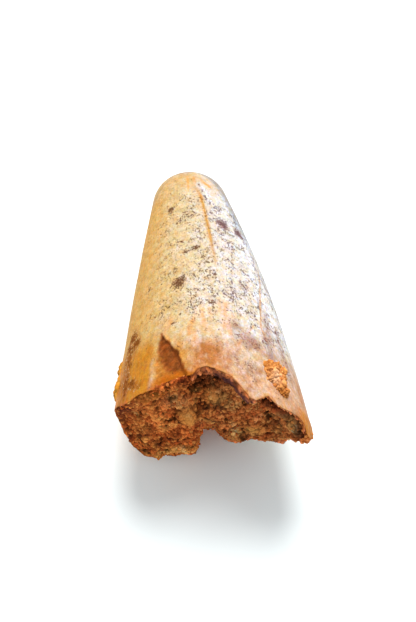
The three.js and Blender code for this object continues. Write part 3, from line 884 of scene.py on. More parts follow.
    def flecks(self):
        """The flecks' colour with their density in alpha, and where colour is smeared."""
        skin, c, down = self.skin, self.c, self.skin.from_tip
        on_chalk = skin.zone(-50, 76, 5)
        worn = smooth(down, 6, 12) * (1 - smooth(down - 6 * skin.zone(20, 58, 5), 33, 39))
        density = (0.33 + 0.05 * on_chalk) * worn * skin.zone(-16, 126, 15) + 0.08
        density = (density + 0.12 * skin.noise(3.5, 91) * worn) * (1 - 0.75 * self.band)
        smear = (0.20 + 0.05 * on_chalk) * worn * smooth(skin.noise(1.2, 97), 0.1, 0.6)
        clusters = skin.densest(DARK_CLUSTERS + LILAC_CLUSTERS, 0.8, 0.7)
        smear = np.maximum(smear, clusters * 0.68)
        smudge = skin.densest(MAUVE_SMUDGES, 0.8, 1.3)
        colour = over(c.umber, c.lilac, on_chalk)
        colour = over(colour, c.mauve * (0.80, 0.58, 0.52), smooth(smudge - smear, 0, 0.1))
        colour = over(colour, c.brown_fleck, smooth(self.crumbly, 0.1, 0.3))
        smear = np.maximum.reduce([smear, 0.42 * smudge, 0.34 * self.crumbly])
        density = np.maximum.reduce([density, clusters, 0.55 * smudge, 0.9 * self.crumbly])
        clean = (1 - self.marks.flake) * (1 - smooth(self.marks.crust, 0.02, 0.1))
        return with_alpha(colour, np.clip(density * clean, 0, 1)), smear * clean

    def layers(self):
        """The skin's colours, flecks, stain and smear, painted in order."""
        self.paint_upper_crown()
        self.paint_band()
        self.paint_golden_side()
        self.paint_streaks()
        self.paint_flake()
        self.shade_flanks()
        crumbs = 0.55 + 0.9 * self.marks.crumb_tone[..., None]
        self.shade((crumbs, smooth(self.marks.crust, 0.02, 0.2)))
        flecks, smear = self.flecks()
        stained = np.clip(self.band * self.skin.zone(14, 122, 8) + 0.2 * self.tongue, 0, 1)
        return self.rgb, flecks, stained * (1 - self.marks.flake), smear


def crown_rows(tooth):
    """Distances down the axis for the rings of the skin: close at the tip and near the break."""
    near_tip = np.linspace(0, 1, 18)[1:] ** 1.6 * 2.2
    upper = np.linspace(2.2, 31, 86)[1:]
    lower = np.linspace(31, tooth.length, 104)[1:]
    return np.concatenate([near_tip, upper, lower])


def crown_columns():
    """Angles round the tooth, closest on the side that faces up."""
    return np.concatenate([
        np.linspace(-14, 196, 270, endpoint=False), np.linspace(196, 346, 132, endpoint=False)])


def broken_edge(tooth, sizes, colours, columns, end, ragged):
    """The wall's broken edge, from the outer rim's points to the inner rim, and its colours."""
    c = palette(colours)
    thick = wall_swell(columns)

    def inner_radius(down):
        return tooth.cavity_radius(down) - thick

    under = 0.5 * window(columns, 2, 14, 60, 72)
    inner_rim = tooth.length + tooth.rim(columns, inner_radius) + 0.5 * ragged - under
    inner_end = tooth.section(inner_rim, columns, inner_radius(inner_rim))
    shares = np.linspace(0, 1, 12)[1:, None]
    edge = mix(end[None], inner_end[None], shares[..., None])
    cover = sand_cover(columns)
    dip = (0.12 * cover + 0.12) * np.sin(math.pi * np.minimum(shares * 1.2, 1)) ** 0.7
    chips, chip_tone = grains(edge + 0.3 * fractal(edge, 0.9, 56)[..., None], 0.62, 57)
    chips = chips**1.5
    rough = 0.6 * chips * chip_tone - 0.16 + 0.3 * fractal(edge, 0.5, 58)
    edge[..., 2] += dip - rough * np.minimum(shares * 6, 1)
    # Where the wall's end is granular like the sandstone, low on the right.
    granular = bell(turn_from(columns, 0) - 6, 17)
    facing = np.zeros_like(edge) + (0, 0, -1.0)
    sandy, sandy_rgb = sand_surface(edge, facing, sizes, colours, 301)
    edge = mix(edge, sandy, granular[None, :, None])
    # The chips' own tones with painted shade in the gaps between them; painted shade then turns
    # the inner part black.
    shaded = 0.20 + 2.3 * chip_tone * chips + 0.45 * fractal(edge, 0.4, 59)
    rgb = c.dentine * np.clip(shaded, 0.14, 2.0)[..., None]
    darkest = 0.25 + 0.65 * window(columns, 56, 64, 82, 90)
    rgb = over(rgb, c.black, smooth(shares + 0.35 * chip_tone, 0.3, 1.0) * darkest)
    rgb = over(rgb, c.rust, np.exp(-shares / 0.14) * 0.8)
    rgb = over(rgb, sandy_rgb * (1.4, 1.3, 1.25), np.maximum(granular, cover)[None])
    return edge, rgb, granular, inner_rim


def inner_side(tooth, columns, inner_rim):
    """Rings up the wall's inner side, from the broken edge to near the cavity's closed end."""
    top = tooth.cavity_top + 0.4
    rings = []
    for back in (0.25, 0.6, 1.1, 1.8, 2.8, 4.5, 7, 10, 14, 18.5):
        down = np.maximum(inner_rim - back * (inner_rim - top) / tooth.pulp, top)
        swollen = wall_swell(columns) * (1 - smooth(back, 2, 8))
        rings.append(tooth.section(down, columns, tooth.cavity_radius(down) - swollen))
    return np.array(rings)


def build_crown(tooth, sizes, colours):
    """The crown as one closed skin: down the outside, over the broken edge and up inside."""
    columns = crown_columns()
    from_tip, around = np.meshgrid(crown_rows(tooth), columns, indexing="ij")
    base = tooth.section(tooth.length, columns, tooth.outer_radius(tooth.length))
    ragged = (0.16 + 0.14 * sand_cover(columns)) * fractal(base, 1.1, 41)
    outer_rim = tooth.rim(columns, tooth.outer_radius) + ragged
    from_tip = from_tip + smooth(from_tip / tooth.length, 0.6, 1) * outer_rim
    even = tooth.section(from_tip, around, tooth.outer_radius(from_tip))
    skin = Skin(tooth, even, from_tip, np.mod(around, 360))
    out, marks = enamel_relief(skin, sizes)
    outside = tooth.section(from_tip, around, tooth.outer_radius(from_tip) + out)
    rgb, flecks, stained, smear = Enamel(skin, marks, colours).layers()
    edge, edge_rgb, granular, inner_rim = broken_edge(
        tooth, sizes, colours, columns, outside[-1], ragged)
    inner = inner_side(tooth, columns, inner_rim)
    # Dentine, darkened: painted shade inside the cavity.
    inner_rgb = np.broadcast_to(np.array(colours.dentine) * 0.6, inner.shape)
    fringe = np.zeros(from_tip.shape)
    fringe[-3:] = 0.5 * granular

    def all_over(*parts):
        """A layer of paint on all points: an array or one number for each set of rings."""
        flat = []
        for part, rings in zip(parts, (outside, edge, inner)):
            own = np.shape(part)[2:]
            flat.append(np.broadcast_to(part, rings.shape[:2] + own).reshape(-1, *own))
        flat = np.concatenate(flat)
        return np.concatenate([flat[:1], flat, flat[-1:]])

    crusty = smooth(marks.crust, 0.02, 0.15)
    layers = {
        "tint": with_alpha(all_over(rgb, edge_rgb, inner_rgb), 1.0),
        "fleck": all_over(flecks, with_alpha(edge_rgb, 0.0), with_alpha(inner_rgb, 0.0)),
        "matt": all_over(np.clip(marks.flake * 0.9 + crusty, 0, 1), 1, 1),
        "loose": all_over(fringe, granular, 0), "stained": all_over(stained, 0, 0),
        "smear": all_over(smear, 0, 0),
    }
    rings = np.concatenate([outside, edge, inner])
    points = np.concatenate([
        tooth.axis_point(0), rings.reshape(-1, 3), tooth.axis_point(tooth.cavity_top)])
    faces = rings_to_faces(len(rings), len(columns))
    return mesh_object("crown_shell", tooth.laid_down(points), faces, layers)


def face_colours(face, rgb, share, around, colours):
    """The broken face's pebbles, tints and shade on its grains, and where it is shaded."""
    c = palette(colours)
    x, up = face[..., 0], -face[..., 1]
    pebbled = []
    for at_x, at_up, radius, _, olive in PEBBLES:
        spot = bump(x, up, at_x, at_up, radius, radius) ** 1.5 * olive
        pebbled.append(spot)
        ground = rgb.mean(-1, keepdims=True) / 0.12
        rgb = over(rgb, c.olive * np.clip(ground, 0.62, 1.4), spot * 0.88)
        ring = np.hypot(x - at_x, up - at_up) / radius - 1.15 + 0.3 * fractal(face, 0.9, 231)
        rgb = rgb * (1 - 0.5 * olive * bell(ring, 0.22))[..., None]
    rgb = over(rgb * (1.09, 1.04, 1.0), rgb * (0.84, 0.93, 1.14), smooth(x, -1.6, 1.8))
    for at_x, at_up, size_x, size_up, tint in SAND_TINTS:
        rgb = over(rgb, rgb * tint, bump(x, up, at_x, at_up, size_x, size_up))
    ground = np.clip(rgb.mean(-1, keepdims=True) / 0.12, 0.4, 1.4)
    rgb = over(rgb, c.grey_sand * ground, bump(x, up, -4.6, 5.4, 1.8, 1.4) * 0.35)
    # Painted shade in the crease between the left block and the rest of the face.
    crease = bell(x + 1.85 - 0.13 * up, 0.35) * bump(x, up, -1, 2.4, 9, 3.0)
    rgb = rgb * (1 - 0.6 * crease)[..., None]
    # Painted shade, darkest right under the rim, all along the upper side.
    turn = np.mod(around + 90, 360) - 90
    ragged = 0.10 * fractal(face, 1.4, 221)
    shade = np.maximum(
        smooth(share + ragged, 0.62, 0.78) * window(turn, 54, 70, 98, 108) * 0.88,
        smooth(share + ragged, 0.78, 0.96) * window(turn, -5, 20, 90, 105) * 0.85)
    rgb = over(rgb, rgb * (0.18, 0.12, 0.17), shade)
    rim = smooth(share + 1.4 * ragged, 0.84, 0.95) * window(turn, 112, 128, 176, 190)
    rgb = over(rgb, rgb * (0.42, 0.21, 0.30), rim * 0.8)
    rgb = over(rgb, c.orange * 0.6, 0.5 * bump(x, up, -7.5, 8.0, 3.0, 2.0))
    maroon = np.maximum(bump(x, up, -11.2, 4.6, 1.7, 2.8), 0.8 * bump(x, up, -11.9, 1.0, 1.1, 4.0))
    return over(rgb, c.maroon, 0.8 * maroon), pebbled, crease, shade


def grid_outline(steps):
    """The numbers of a square grid's border points, once round."""
    last = steps * steps
    return np.concatenate([
        np.arange(steps), np.arange(2 * steps - 1, last, steps),
        np.arange(last - 2, last - steps - 1, -1), np.arange(last - 2 * steps, 0, -steps)])


def plug_faces(steps, outline, rings, last):
    """Faces of the sandstone: the grid in front, then the rings behind it up to a last point."""
    row, column = np.meshgrid(np.arange(steps - 1), np.arange(steps - 1), indexing="ij")
    at = row * steps + column
    faces = np.stack([at, at + 1, at + steps + 1, at + steps], -1).reshape(-1, 4).tolist()
    count = len(outline)
    ids = [outline] + [steps * steps + k * count + np.arange(count) for k in range(rings)]
    for first, then in zip(ids, ids[1:]):
        faces += np.stack([np.roll(first, -1), first, then, np.roll(then, -1)], -1).tolist()
    return faces + [(int(b), int(a), last) for a, b in zip(ids[-1], np.roll(ids[-1], -1))]


def build_core(tooth, sizes, colours):
    """The sandstone in the cavity: its granular face, and a plain plug behind it."""
    steps = FACE_STEPS
    face, share, around = sandstone_face(tooth, steps)
    normals = grid_normals(face)
    if normals[steps // 2, steps // 2, 2] > 0:
        normals = -normals
    raised, rgb = sand_surface(face, normals, sizes, colours, 201)
    rgb, pebbled, crease, shade = face_colours(face, rgb, share, around, colours)
    bare = 1 - 0.8 * shade
    for spot in pebbled:
        raised = mix(raised, face + 0.02 * normals, (spot * 0.75)[..., None])
        bare = bare * (1 - smooth(spot, 0.2, 0.5))
    raised = raised - normals * (0.25 * crease)[..., None]

    # The plug behind the face: its rim, taken back and in, then on to the cavity's closed end.
    outline = grid_outline(steps)
    around = np.mod(around.reshape(-1)[outline], 360)
    edge = tooth.length - face.reshape(-1, 3)[outline][:, 2]
    rings = []
    for back in (1.4, 4.0, 9.0, 14.0, 17.5):
        down = mix(edge, tooth.length - 3, min(1, back / 9)) - back
        down = np.maximum(down, tooth.cavity_top + 1.5)
        rings.append(tooth.section(down, around, tooth.cavity_radius(down) - 0.1))
    behind = np.concatenate([*rings, tooth.axis_point(tooth.cavity_top + 1.2)])
    points = np.concatenate([raised.reshape(-1, 3), behind])
    faces = plug_faces(steps, outline, len(rings), len(points) - 1)
    hidden = np.broadcast_to(np.array(colours.sand_dark), behind.shape)
    core = mesh_object("sandstone_core", tooth.laid_down(points), faces, {
        "tint": with_alpha(np.concatenate([rgb.reshape(-1, 3), hidden]), 1.0),
        "loose": np.concatenate([bare.reshape(-1), np.zeros(len(behind))])})
    turn_outwards(core.data)
    return core


def turn_outwards(mesh):
    """Flips a closed mesh whose faces point inwards."""
    mesh.calc_loop_triangles()
    corners = np.zeros(len(mesh.vertices) * 3)
    mesh.vertices.foreach_get("co", corners)
    corners = corners.reshape(-1, 3)
    triangles = np.zeros(len(mesh.loop_triangles) * 3, np.int32)
    mesh.loop_triangles.foreach_get("vertices", triangles)
    a, b, c = (corners[triangles.reshape(-1, 3)[:, k]] for k in range(3))
    if np.einsum("ij,ij->i", a, np.cross(b, c)).sum() < 0:
        mesh.flip_normals()


def surface_frame(tooth, from_tip, around):
    """A point of the skin, with the directions around, along the axis to the base, and out."""
    here = tooth.skin_point(from_tip, around)
    along = tooth.skin_point(from_tip + 0.5, around) - here
    side = tooth.skin_point(from_tip, around + 1) - here
    along, side = along / np.linalg.norm(along), side / np.linalg.norm(side)
    out = np.cross(side, along)
    out = out / np.linalg.norm(out)
    return here, np.cross(along, out), along, out


def lump_balls(tooth):
    """The lump's balls of sand, dented and set on the flank, as one mesh."""
    ball = bmesh.new()
    bmesh.ops.create_icosphere(ball, subdivisions=4, radius=1)
    round_ball = np.array([v.co for v in ball.verts])
    corners = [[v.index for v in face.verts] for face in ball.faces]
    ball.free()
    points, faces = [], []
    for k, (from_tip, around, *half) in enumerate(LUMP):
        here, side, along, out = surface_frame(tooth, from_tip, around)
        dented = round_ball * (1 + 0.16 * fractal(round_ball + 7 * k, 0.9, 131 + k))[:, None]
        faces += [[len(points) + i for i in face] for face in corners]
        axes = np.array([side, along, out]) * np.array(half)[:, None]
        points += (here + dented @ axes).tolist()
    mesh = bpy.data.meshes.new("knob_balls")
    mesh.from_pydata(points, [], faces)
    return mesh


def build_knob(tooth, colours):
    """The lump on the flank: balls of sand grown into one by a remesh, then grained."""
    balls = in_scene("knob_balls", lump_balls(tooth))
    remesh = balls.modifiers.new("join", "REMESH")
    remesh.mode, remesh.voxel_size = "VOXEL", LUMP_VOXEL
    joined = bpy.data.meshes.new_from_object(
        balls.evaluated_get(bpy.context.evaluated_depsgraph_get()))
    bpy.data.objects.remove(balls)
    corners = np.array([v.co for v in joined.vertices])
    normals = np.array([v.normal for v in joined.vertices])
    warp = np.stack([fractal(corners, 0.9, 403 + 7 * k) for k in range(3)], -1)
    beads, bead_tone = grains(corners + 0.7 * warp, 0.88, 405)
    small, small_tone = grains(corners + 0.4 * warp, 0.62, 406)
    fine, fine_tone = grains(corners + 0.2 * warp, 0.36, 407)
    broken = smooth(fractal(corners, 0.8, 413), -0.15, 0.25)
    beads, bead_tone = mix(beads**1.4, small**1.3, broken), mix(bead_tone, small_tone, broken)
    fine = fine**1.4
    raised = 0.46 * beads * (0.5 + 0.8 * bead_tone) + 0.07 * fine - 0.30
    raised = raised + 0.12 * fractal(corners, 0.9, 415)
    # Painted light on the beads: lighter tops and darker gaps, mixed with each bead's own tone.
    shine = smooth(beads * (0.6 + 0.4 * fine), -0.1, 0.8)
    shine = shine * (0.15 + 0.6 * bead_tone + 0.45 * fine_tone)
    c = palette(colours)
    rgb = mix(c.dark_bead, c.light_bead, shine[..., None])
    rgb = over(rgb, c.warm_bead, smooth(fractal(corners, 0.9, 409), 0, 0.5) * 0.6)
    here, side, along, _ = surface_frame(tooth, *LUMP_PALE)
    local = corners - here
    pale = bell(local @ along - 0.1, 1.1) * bell(local @ side - 0.1, 0.75)
    pale = np.clip(pale * (1 + 0.5 * fractal(corners, 0.6, 411)), 0, 0.85)
    rgb = over(rgb, c.pale_bead * (0.45 + 0.7 * shine[..., None]), pale)
    faces = [tuple(p.vertices) for p in joined.polygons]
    points = tooth.laid_down(corners + normals * raised[..., None])
    knob = mesh_object("sandstone_knob", points, faces, {
        "tint": with_alpha(np.clip(rgb, 0, 1), 1.0), "loose": np.full(len(corners), 0.25)})
    turn_outwards(knob.data)
    return knob


# ---- Materials ----

def feed(tree, value, socket):
    """Link a socket to another node's output, or set it to a plain value."""
    if hasattr(value, "is_output"):
        tree.links.new(value, socket)
    else:
        socket.default_value = value


SOCKETS = {
    "base_color": "Base Color", "roughness": "Roughness", "normal": "Normal",
    "specular": "Specular IOR Level",
}


class Nodes:
    """A material's node tree, with short ways to add and link what is needed."""

    def __init__(self, name):
        self.material = bpy.data.materials.new(name)
        self.material.use_nodes = True
        self.tree = self.material.node_tree
        self.tree.nodes.clear()
        self.shader = self.add("ShaderNodeBsdfPrincipled")
        output = self.add("ShaderNodeOutputMaterial")
        self.link(self.shader.outputs["BSDF"], output.inputs["Surface"])
        self.place = self.add("ShaderNodeTexCoord").outputs["Object"]

    def add(self, kind, **settings):
        node = self.tree.nodes.new(kind)
        for name, value in settings.items():
            setattr(node, name, value)
        return node

    def link(self, source, target):
        feed(self.tree, source, target)

    def attribute(self, name):
        return self.add("ShaderNodeAttribute", attribute_name=name)

    def noise(self, size_mm, detail=3.0, roughness=0.55, distortion=0.0, stretch=(1, 1, 1)):
        """Noise whose swells are this many millimetres wide."""
        scaled, node = self.add("ShaderNodeMapping"), self.add("ShaderNodeTexNoise")
        self.link(self.place, scaled.inputs["Vector"])
        self.link(stretch, scaled.inputs["Scale"])
        self.link(SKEW, scaled.inputs["Rotation"])
        for name, value in (
                ("Vector", scaled.outputs[0]), ("Scale", 1 / (size_mm * MM)), ("Detail", detail),
                ("Roughness", roughness), ("Distortion", distortion)):
            self.link(value, node.inputs[name])
        return node.outputs["Fac"]

    def filled(self, node, *values):
        """A node's first output, once its first inputs have these values."""
        for value, socket in zip(values, node.inputs):
            self.link(value, socket)
        return node.outputs[0]

    def maths(self, operation, a, b=0.0, c=0.0):
        return self.filled(self.add("ShaderNodeMath", operation=operation), a, b, c)

    def times(self, a, b):
        return self.maths("MULTIPLY", a, b)

    def plus(self, a, share, b):
        """share times a, added to b."""
        return self.maths("MULTIPLY_ADD", a, share, b)

    def step(self, value, low, high, to_low=0.0, to_high=1.0):
        node = self.add("ShaderNodeMapRange", interpolation_type="SMOOTHSTEP")
        return self.filled(node, value, low, high, to_low, to_high)

    def blend(self, share, a, b, kind="MIX"):
        node = self.add("ShaderNodeMix", data_type="RGBA", blend_type=kind)
        for name, value in zip(("Factor", "A", "B"), (share, a, b)):
            socket = [s for s in node.inputs if s.name == name and s.enabled][0]
            if not hasattr(value, "is_output") and name != "Factor":
                value = (*value, 1.0)
            self.link(value, socket)
        return [s for s in node.outputs if s.enabled][0]

    def tinted(self, colour_in, tint):
        return self.blend(1.0, colour_in, tint, "MULTIPLY")

    def bump(self, height, distance_mm, strength):
        node = self.add("ShaderNodeBump")
        node.inputs["Distance"].default_value = distance_mm * MM
        node.inputs["Strength"].default_value = strength
        self.link(height, node.inputs["Height"])
        return node.outputs[0]

    def set(self, **values):
        for name, value in values.items():
            self.link(value, self.shader.inputs[SOCKETS[name]])


def enamel_material():
    """Weathered enamel: mottled, flecked with dark mineral, and polished between the flecks."""
    n = Nodes("weathered_enamel")
    tint, fleck = n.attribute("tint"), n.attribute("fleck")
    matt, stained, smeared = (
        n.attribute(name).outputs["Fac"] for name in ("matt", "stained", "smear"))
    tints = (  # noise, where it starts and ends, the colour it multiplies by at each end
        (n.noise(1.1, 5, 0.62, 0.2), 0.38, 0.62, (0.93, 0.86, 0.74), (1.07, 1.08, 1.12)),
        (n.noise(0.62, 3, 0.6, 0.2), 0.40, 0.60, (0.96, 1.0, 1.14), (1.04, 0.99, 0.84)),
        (n.noise(0.85, 4, 0.6, 0.3, (1.3, 0.7, 1)), 0.42, 0.60, (1.03, 0.97, 0.97),
         (0.95, 1.01, 0.99)),
        (n.noise(0.24, 3, 0.65), 0.36, 0.64, (0.88, 0.84, 0.78), (1.08, 1.08, 1.08)),
    )
    shaded = tint.outputs["Color"]
    for noise, low, high, at_low, at_high in tints:
        shaded = n.tinted(shaded, n.blend(n.step(noise, low, high), at_low, at_high))
    # Brown threads and pale ribbons along the crown, stronger where it is stained.
    threads = n.noise(0.26, 2, 0.6, 0.4, stretch=(1.0, 0.3, 1.0))
    ribbons = n.noise(0.6, 4, 0.65, 0.3, stretch=(1.0, 0.45, 1.0))
    for noise, low, on_stain, on_bare, streak in (
            (threads, 0.52, 0.2, 0.12, (0.66, 0.46, 0.32)),
            (ribbons, 0.50, 0.3, 0.1, (1.35, 1.7, 2.2))):
        density = n.times(n.step(noise, low, 0.66), n.plus(stained, on_stain, on_bare))
        shaded = n.blend(density, shaded, n.tinted(shaded, streak))
    # Fine pale scratches where the skin is worn, over the smears of the flecks' colour.
    fine = n.noise(0.30, 3, 0.6)
    worn = fleck.outputs["Alpha"]
    crossing = n.maths("ABSOLUTE", n.maths("SUBTRACT", n.noise(0.9, 2, 0.5, 1.2), 0.5))
    broken_up = n.step(n.noise(0.8, 2, 0.5), 0.48, 0.56)
    scratch = n.times(n.step(crossing, 0.022, 0.008), broken_up)
    scratch = n.times(scratch, n.step(worn, 0.1, 0.3, 0, 0.6))
    scratch = n.times(scratch, n.step(smeared, 0.30, 0.12))
    smear = n.plus(n.noise(0.40, 5, 0.78, 0.3, stretch=(1.2, 0.8, 1.0)), 1.7, smeared)
    smear = n.times(n.step(smear, 1.22, 1.46), n.step(fine, 0.35, 0.6, 0.45, 0.95))
    shaded = n.blend(smear, shaded, n.tinted(fleck.outputs["Color"], (2.5, 2.35, 2.3)))
    shaded = n.blend(scratch, shaded, (0.72, 0.60, 0.36))
    # Specks, in clumps, as dense as the flecks' attribute says.
    dense = n.plus(worn, 0.24, n.noise(0.30, 4, 0.72, 0.12, stretch=(1.2, 0.85, 1.0)))
    dense = n.plus(n.step(n.noise(1.5, 3, 0.55), 0.40, 0.62), 0.10, dense)
    spots = n.times(n.step(dense, 0.695, 0.755), n.maths("SUBTRACT", 1.0, scratch))
    n.set(base_color=n.blend(n.times(spots, 0.85), shaded, fleck.outputs["Color"]))
    rough = n.maths("MAXIMUM", n.plus(spots, 0.30, 0.36), n.times(matt, 0.88))
    height = n.plus(threads, 0.2, n.plus(spots, -0.8, n.times(fine, 0.35)))
    n.set(roughness=rough, specular=0.012, normal=n.bump(height, 0.05, 0.8))
    return n.material


def sandstone_material():
    """Sandstone: each grain keeps its own tint, with finer grit between the grains."""
    n = Nodes("iron_sandstone")
    grit = n.noise(0.24, 3, 0.6)
    grey = n.blend(n.step(grit, 0.38, 0.62), (0.84, 0.79, 0.75), (1.16, 1.15, 1.13))
    n.set(base_color=n.tinted(n.attribute("tint").outputs["Color"], grey), specular=0.02)
    n.set(roughness=n.step(grit, 0.3, 0.7, 0.92, 0.7), normal=n.bump(grit, 0.05, 0.9))
    return n.material


def grain_material(colours):
    """Loose grains: the tone of each is its own, from dark to quartz."""
    n = Nodes("loose_sand")
    tone = n.attribute("tone").outputs["Fac"]
    ramp = n.add("ShaderNodeValToRGB")
    n.link(tone, ramp.inputs[0])
    stops = ((0.0, colours.sand_dark), (0.45, colours.sand), (0.88, colours.sand_light),
             (1.0, colours.quartz))
    while len(ramp.color_ramp.elements) < len(stops):
        ramp.color_ramp.elements.new(0.5)
    for element, (position, rgb) in zip(ramp.color_ramp.elements, stops):
        element.position, element.color = position, (*rgb, 1)
    grit = n.noise(0.10, 2, 0.6)
    grey = n.blend(n.step(grit, 0.35, 0.65), (0.75, 0.75, 0.75), (1.2, 1.2, 1.2))
    n.set(base_color=n.tinted(ramp.outputs[0], grey), specular=0.04)
    n.set(roughness=n.step(tone, 0.6, 1.0, 0.85, 0.45), normal=n.bump(grit, 0.03, 0.7))
    return n.material


# ---- Loose grains ----

def scatter_tree(material):
    """Grains of a few facets, set on the surface by its "loose" attribute, and made real."""
    tree = bpy.data.node_groups.new("loose_grains", "GeometryNodeTree")
    face = tree.interface
    for name, kind in (("Geometry", "Geometry"), ("Spacing", "Float"), ("Radius", "Float"),
                       ("Darkest", "Float"), ("Seed", "Int")):
        face.new_socket(name, in_out="INPUT", socket_type=f"NodeSocket{kind}")
    face.new_socket("Geometry", in_out="OUTPUT", socket_type="NodeSocketGeometry")

    def add(kind, inputs=(), **settings):
        """A node with these settings, its inputs linked or set by name or number."""
        node = tree.nodes.new(kind)
        for name, value in settings.items():
            setattr(node, name, value)
        for key, value in dict(inputs).items():
            feed(tree, value, node.inputs[key])
        return node

    given = add("NodeGroupInput").outputs
    loose = add("GeometryNodeInputNamedAttribute", {"Name": "loose"}, data_type="FLOAT")
    points = add("GeometryNodeDistributePointsOnFaces", {
        "Density Max": GRAIN_DENSITY, "Mesh": given["Geometry"], "Seed": given["Seed"],
        "Distance Min": given["Spacing"], "Density Factor": loose.outputs[0],
    }, distribute_method="POISSON")

    # Three kinds of grain, each a ball with dents of its own.
    ball = add("GeometryNodeMeshUVSphere", GRAIN_FACETS)
    kinds = add("GeometryNodeGeometryToInstance")
    for k in range(3):
        dent = add("ShaderNodeTexNoise", {"W": 3.7 * k, "Scale": 1.1}, noise_dimensions="4D")
        centred = add("ShaderNodeVectorMath", {0: dent.outputs["Color"], 1: (0.5, 0.5, 0.5)},
                      operation="SUBTRACT")
        deeper = add("ShaderNodeVectorMath", {0: centred.outputs[0], "Scale": 1.5},
                     operation="SCALE")
        shaped = add("GeometryNodeSetPosition", {
            "Geometry": ball.outputs["Mesh"], "Offset": deeper.outputs[0]})
        tree.links.new(shaped.outputs[0], kinds.inputs[0])

    def random(kind, low, high, number):
        """A random value for each grain; number sets its seed apart from the others'."""
        seed = add("ShaderNodeMath", {0: given["Seed"], 1: number}, operation="ADD")
        node = add("FunctionNodeRandomValue", {"Seed": seed.outputs[0]}, data_type=kind)
        ends = [s for s in node.inputs if s.enabled]
        for socket, value in zip(ends, (low, high)):
            feed(tree, value, socket)
        return [s for s in node.outputs if s.enabled][0]

    turn = random("FLOAT_VECTOR", (0, 0, 0), (6.283, 6.283, 6.283), 1)
    shape = random("FLOAT_VECTOR", (0.7, 0.7, 0.7), (1.15, 1.15, 1.15), 2)
    size = random("FLOAT", 0.35, 1.0, 3)
    tone = random("FLOAT", given["Darkest"], 0.84, 4)
    radius = add("ShaderNodeMath", {0: size, 1: given["Radius"]}, operation="MULTIPLY")
    scaled = add("ShaderNodeVectorMath", {0: shape, "Scale": radius.outputs[0]},
                 operation="SCALE")
    placed = add("GeometryNodeInstanceOnPoints", {
        "Pick Instance": True, "Points": points.outputs["Points"], "Instance": kinds.outputs[0],
        "Rotation": turn, "Scale": scaled.outputs[0]})
    toned = add("GeometryNodeStoreNamedAttribute", {
        "Name": "tone", "Geometry": placed.outputs[0]}, data_type="FLOAT", domain="INSTANCE")
    tree.links.new(tone, toned.inputs["Value"])
    real = add("GeometryNodeRealizeInstances", {0: toned.outputs[0]})
    finish = add("GeometryNodeSetMaterial", {"Material": material, "Geometry": real.outputs[0]})
    add("NodeGroupOutput", {0: finish.outputs[0]})
    return tree


def scatter(carrier, tree, name, spacing_mm, darkest, radius, seed):
    """The grains scattered on a piece, as a plain mesh object of their own."""
    modifier = carrier.modifiers.new("grains", "NODES")
    modifier.node_group = tree
    values = {"Spacing": spacing_mm * MM, "Radius": radius, "Darkest": darkest, "Seed": seed}
    for item in tree.interface.items_tree:
        if item.in_out == "INPUT" and item.name in values:
            modifier[item.identifier] = values[item.name]
    evaluated = carrier.evaluated_get(bpy.context.evaluated_depsgraph_get())
    mesh = bpy.data.meshes.new_from_object(evaluated)
    carrier.modifiers.remove(modifier)
    mesh.name = name
    return in_scene(name, mesh)


def scene_settings():
    return bpy.context.scene.fossil_tooth_sizes, bpy.context.scene.fossil_tooth_colours


def finished(piece, material=None, node=None):
    """The piece with its material, riding on the body and standing for its CAD node."""
    if material is not None:
        piece.data.materials.append(material)
    if node is not None:
        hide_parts(node)
    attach(piece, "root")


class FOSSILTOOTH_OT_crown(Operator):
    """Build the crown with its weathered enamel and broken edge"""

    bl_idname = "object.fossil_tooth_crown"
    bl_label = "Build crown"

    def execute(self, context):
        sizes, colours = scene_settings()
        crown = build_crown(Tooth(sizes), sizes, colours)
        finished(crown, enamel_material(), "tooth_crown")
        return {"FINISHED"}


class FOSSILTOOTH_OT_core(Operator):
    """Build the sandstone that fills the cavity"""

    bl_idname = "object.fossil_tooth_core"
    bl_label = "Build sandstone core"

    def execute(self, context):
        sizes, colours = scene_settings()
        core = build_core(Tooth(sizes), sizes, colours)
        finished(core, sandstone_material(), "sandstone_fill")
        return {"FINISHED"}


class FOSSILTOOTH_OT_knob(Operator):
    """Build the lump of sandstone on the flank"""

    bl_idname = "object.fossil_tooth_knob"
    bl_label = "Build sandstone knob"

    def execute(self, context):
        sizes, colours = scene_settings()
        knob = build_knob(Tooth(sizes), colours)
        finished(knob, sandstone_material(), "sandstone_lump")
        return {"FINISHED"}


class FOSSILTOOTH_OT_grains(Operator):
    """Scatter loose grains over the sandstone and the granular end of the wall"""

    bl_idname = "object.fossil_tooth_grains"
    bl_label = "Scatter grains"

    def execute(self, context):
        sizes, colours = scene_settings()
        tree = scatter_tree(grain_material(colours))
        for k, (name, spacing, darkest) in enumerate(LOOSE_GRAINS):
            if name not in bpy.data.objects:
                raise RuntimeError(f"{name} isn't built yet")
            grains_piece = scatter(bpy.data.objects[name], tree, f"{name}_grains", spacing,
                                   darkest, sizes.loose_grain, sizes.seed + k)
            finished(grains_piece)
        return {"FINISHED"}


def area_light(name, power, size, place, tint):
    """A round light at this place that shines at the origin."""
    light = bpy.data.lights.new(name, "AREA")
    light.shape, light.size, light.energy, light.color = "DISK", size, power, tint
    lamp = in_scene(name, light)
    lamp.location = place
    lamp.rotation_euler = (-Vector(place)).to_track_quat("-Z", "Y").to_euler()


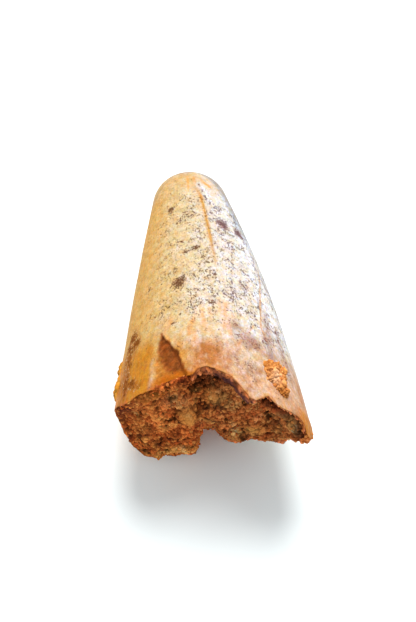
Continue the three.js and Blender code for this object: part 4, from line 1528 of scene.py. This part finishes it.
class FOSSILTOOTH_OT_stage(Operator):
    """Set the floor, the studio light and the camera"""

    bl_idname = "scene.fossil_tooth_stage"
    bl_label = "Set stage"

    def execute(self, context):
        _, colours = scene_settings()
        scene = context.scene
        corners = FLOOR_HALF * np.array([(-1, -1, 0), (1, -1, 0), (1, 1, 0), (-1, 1, 0)])
        floor = mesh_object("floor", corners, [(0, 1, 2, 3)], {})
        n = Nodes("paper")
        n.set(base_color=(*colours.floor, 1), roughness=0.9)
        floor.data.materials.append(n.material)

        world = bpy.data.worlds.new("studio")
        scene.world = world
        world.use_nodes = True
        background = world.node_tree.nodes["Background"]
        background.inputs["Color"].default_value = SKY_COLOUR
        background.inputs["Strength"].default_value = SKY_STRENGTH
        area_light("key", **KEY_LIGHT)

        scene.view_settings.view_transform = "Standard"
        camera = bpy.data.cameras.new("camera")
        camera.sensor_fit, camera.sensor_height = "VERTICAL", SENSOR_MM
        camera.lens, camera.clip_start = LENS_MM, 0.01
        eye = in_scene("camera", camera)
        eye.location = CAMERA_PLACE
        eye.rotation_euler = Vector(CAMERA_AIM).to_track_quat("-Z", "Y").to_euler()
        scene.camera = eye
        return {"FINISHED"}


class FOSSILTOOTH_PT_panel(Panel):
    """The fossil tooth's pieces, sizes and colours"""

    bl_idname = "FOSSILTOOTH_PT_panel"
    bl_label = "Fossil tooth"
    bl_space_type = "VIEW_3D"
    bl_region_type = "UI"
    bl_category = "Fossil tooth"

    def draw(self, context):
        for operator in OPERATORS:
            self.layout.operator(operator.bl_idname)
        for settings in scene_settings():
            column = self.layout.column()
            for name in settings.__annotations__:
                column.prop(settings, name)


OPERATORS = (
    FOSSILTOOTH_OT_crown, FOSSILTOOTH_OT_core, FOSSILTOOTH_OT_knob, FOSSILTOOTH_OT_grains,
    FOSSILTOOTH_OT_stage,
)
CLASSES = (FossilToothSizes, FossilToothColours, *OPERATORS, FOSSILTOOTH_PT_panel)


def register():
    for cls in CLASSES:
        bpy.utils.register_class(cls)
    bpy.types.Scene.fossil_tooth_sizes = PointerProperty(type=FossilToothSizes)
    bpy.types.Scene.fossil_tooth_colours = PointerProperty(type=FossilToothColours)


def unregister():
    del bpy.types.Scene.fossil_tooth_colours
    del bpy.types.Scene.fossil_tooth_sizes
    for cls in reversed(CLASSES):
        bpy.utils.unregister_class(cls)


def main():
    register()
    bpy.ops.object.fossil_tooth_crown()
    bpy.ops.object.fossil_tooth_core()
    bpy.ops.object.fossil_tooth_knob()
    bpy.ops.object.fossil_tooth_grains()
    bpy.ops.scene.fossil_tooth_stage()


if __name__ == "__main__":
    main()
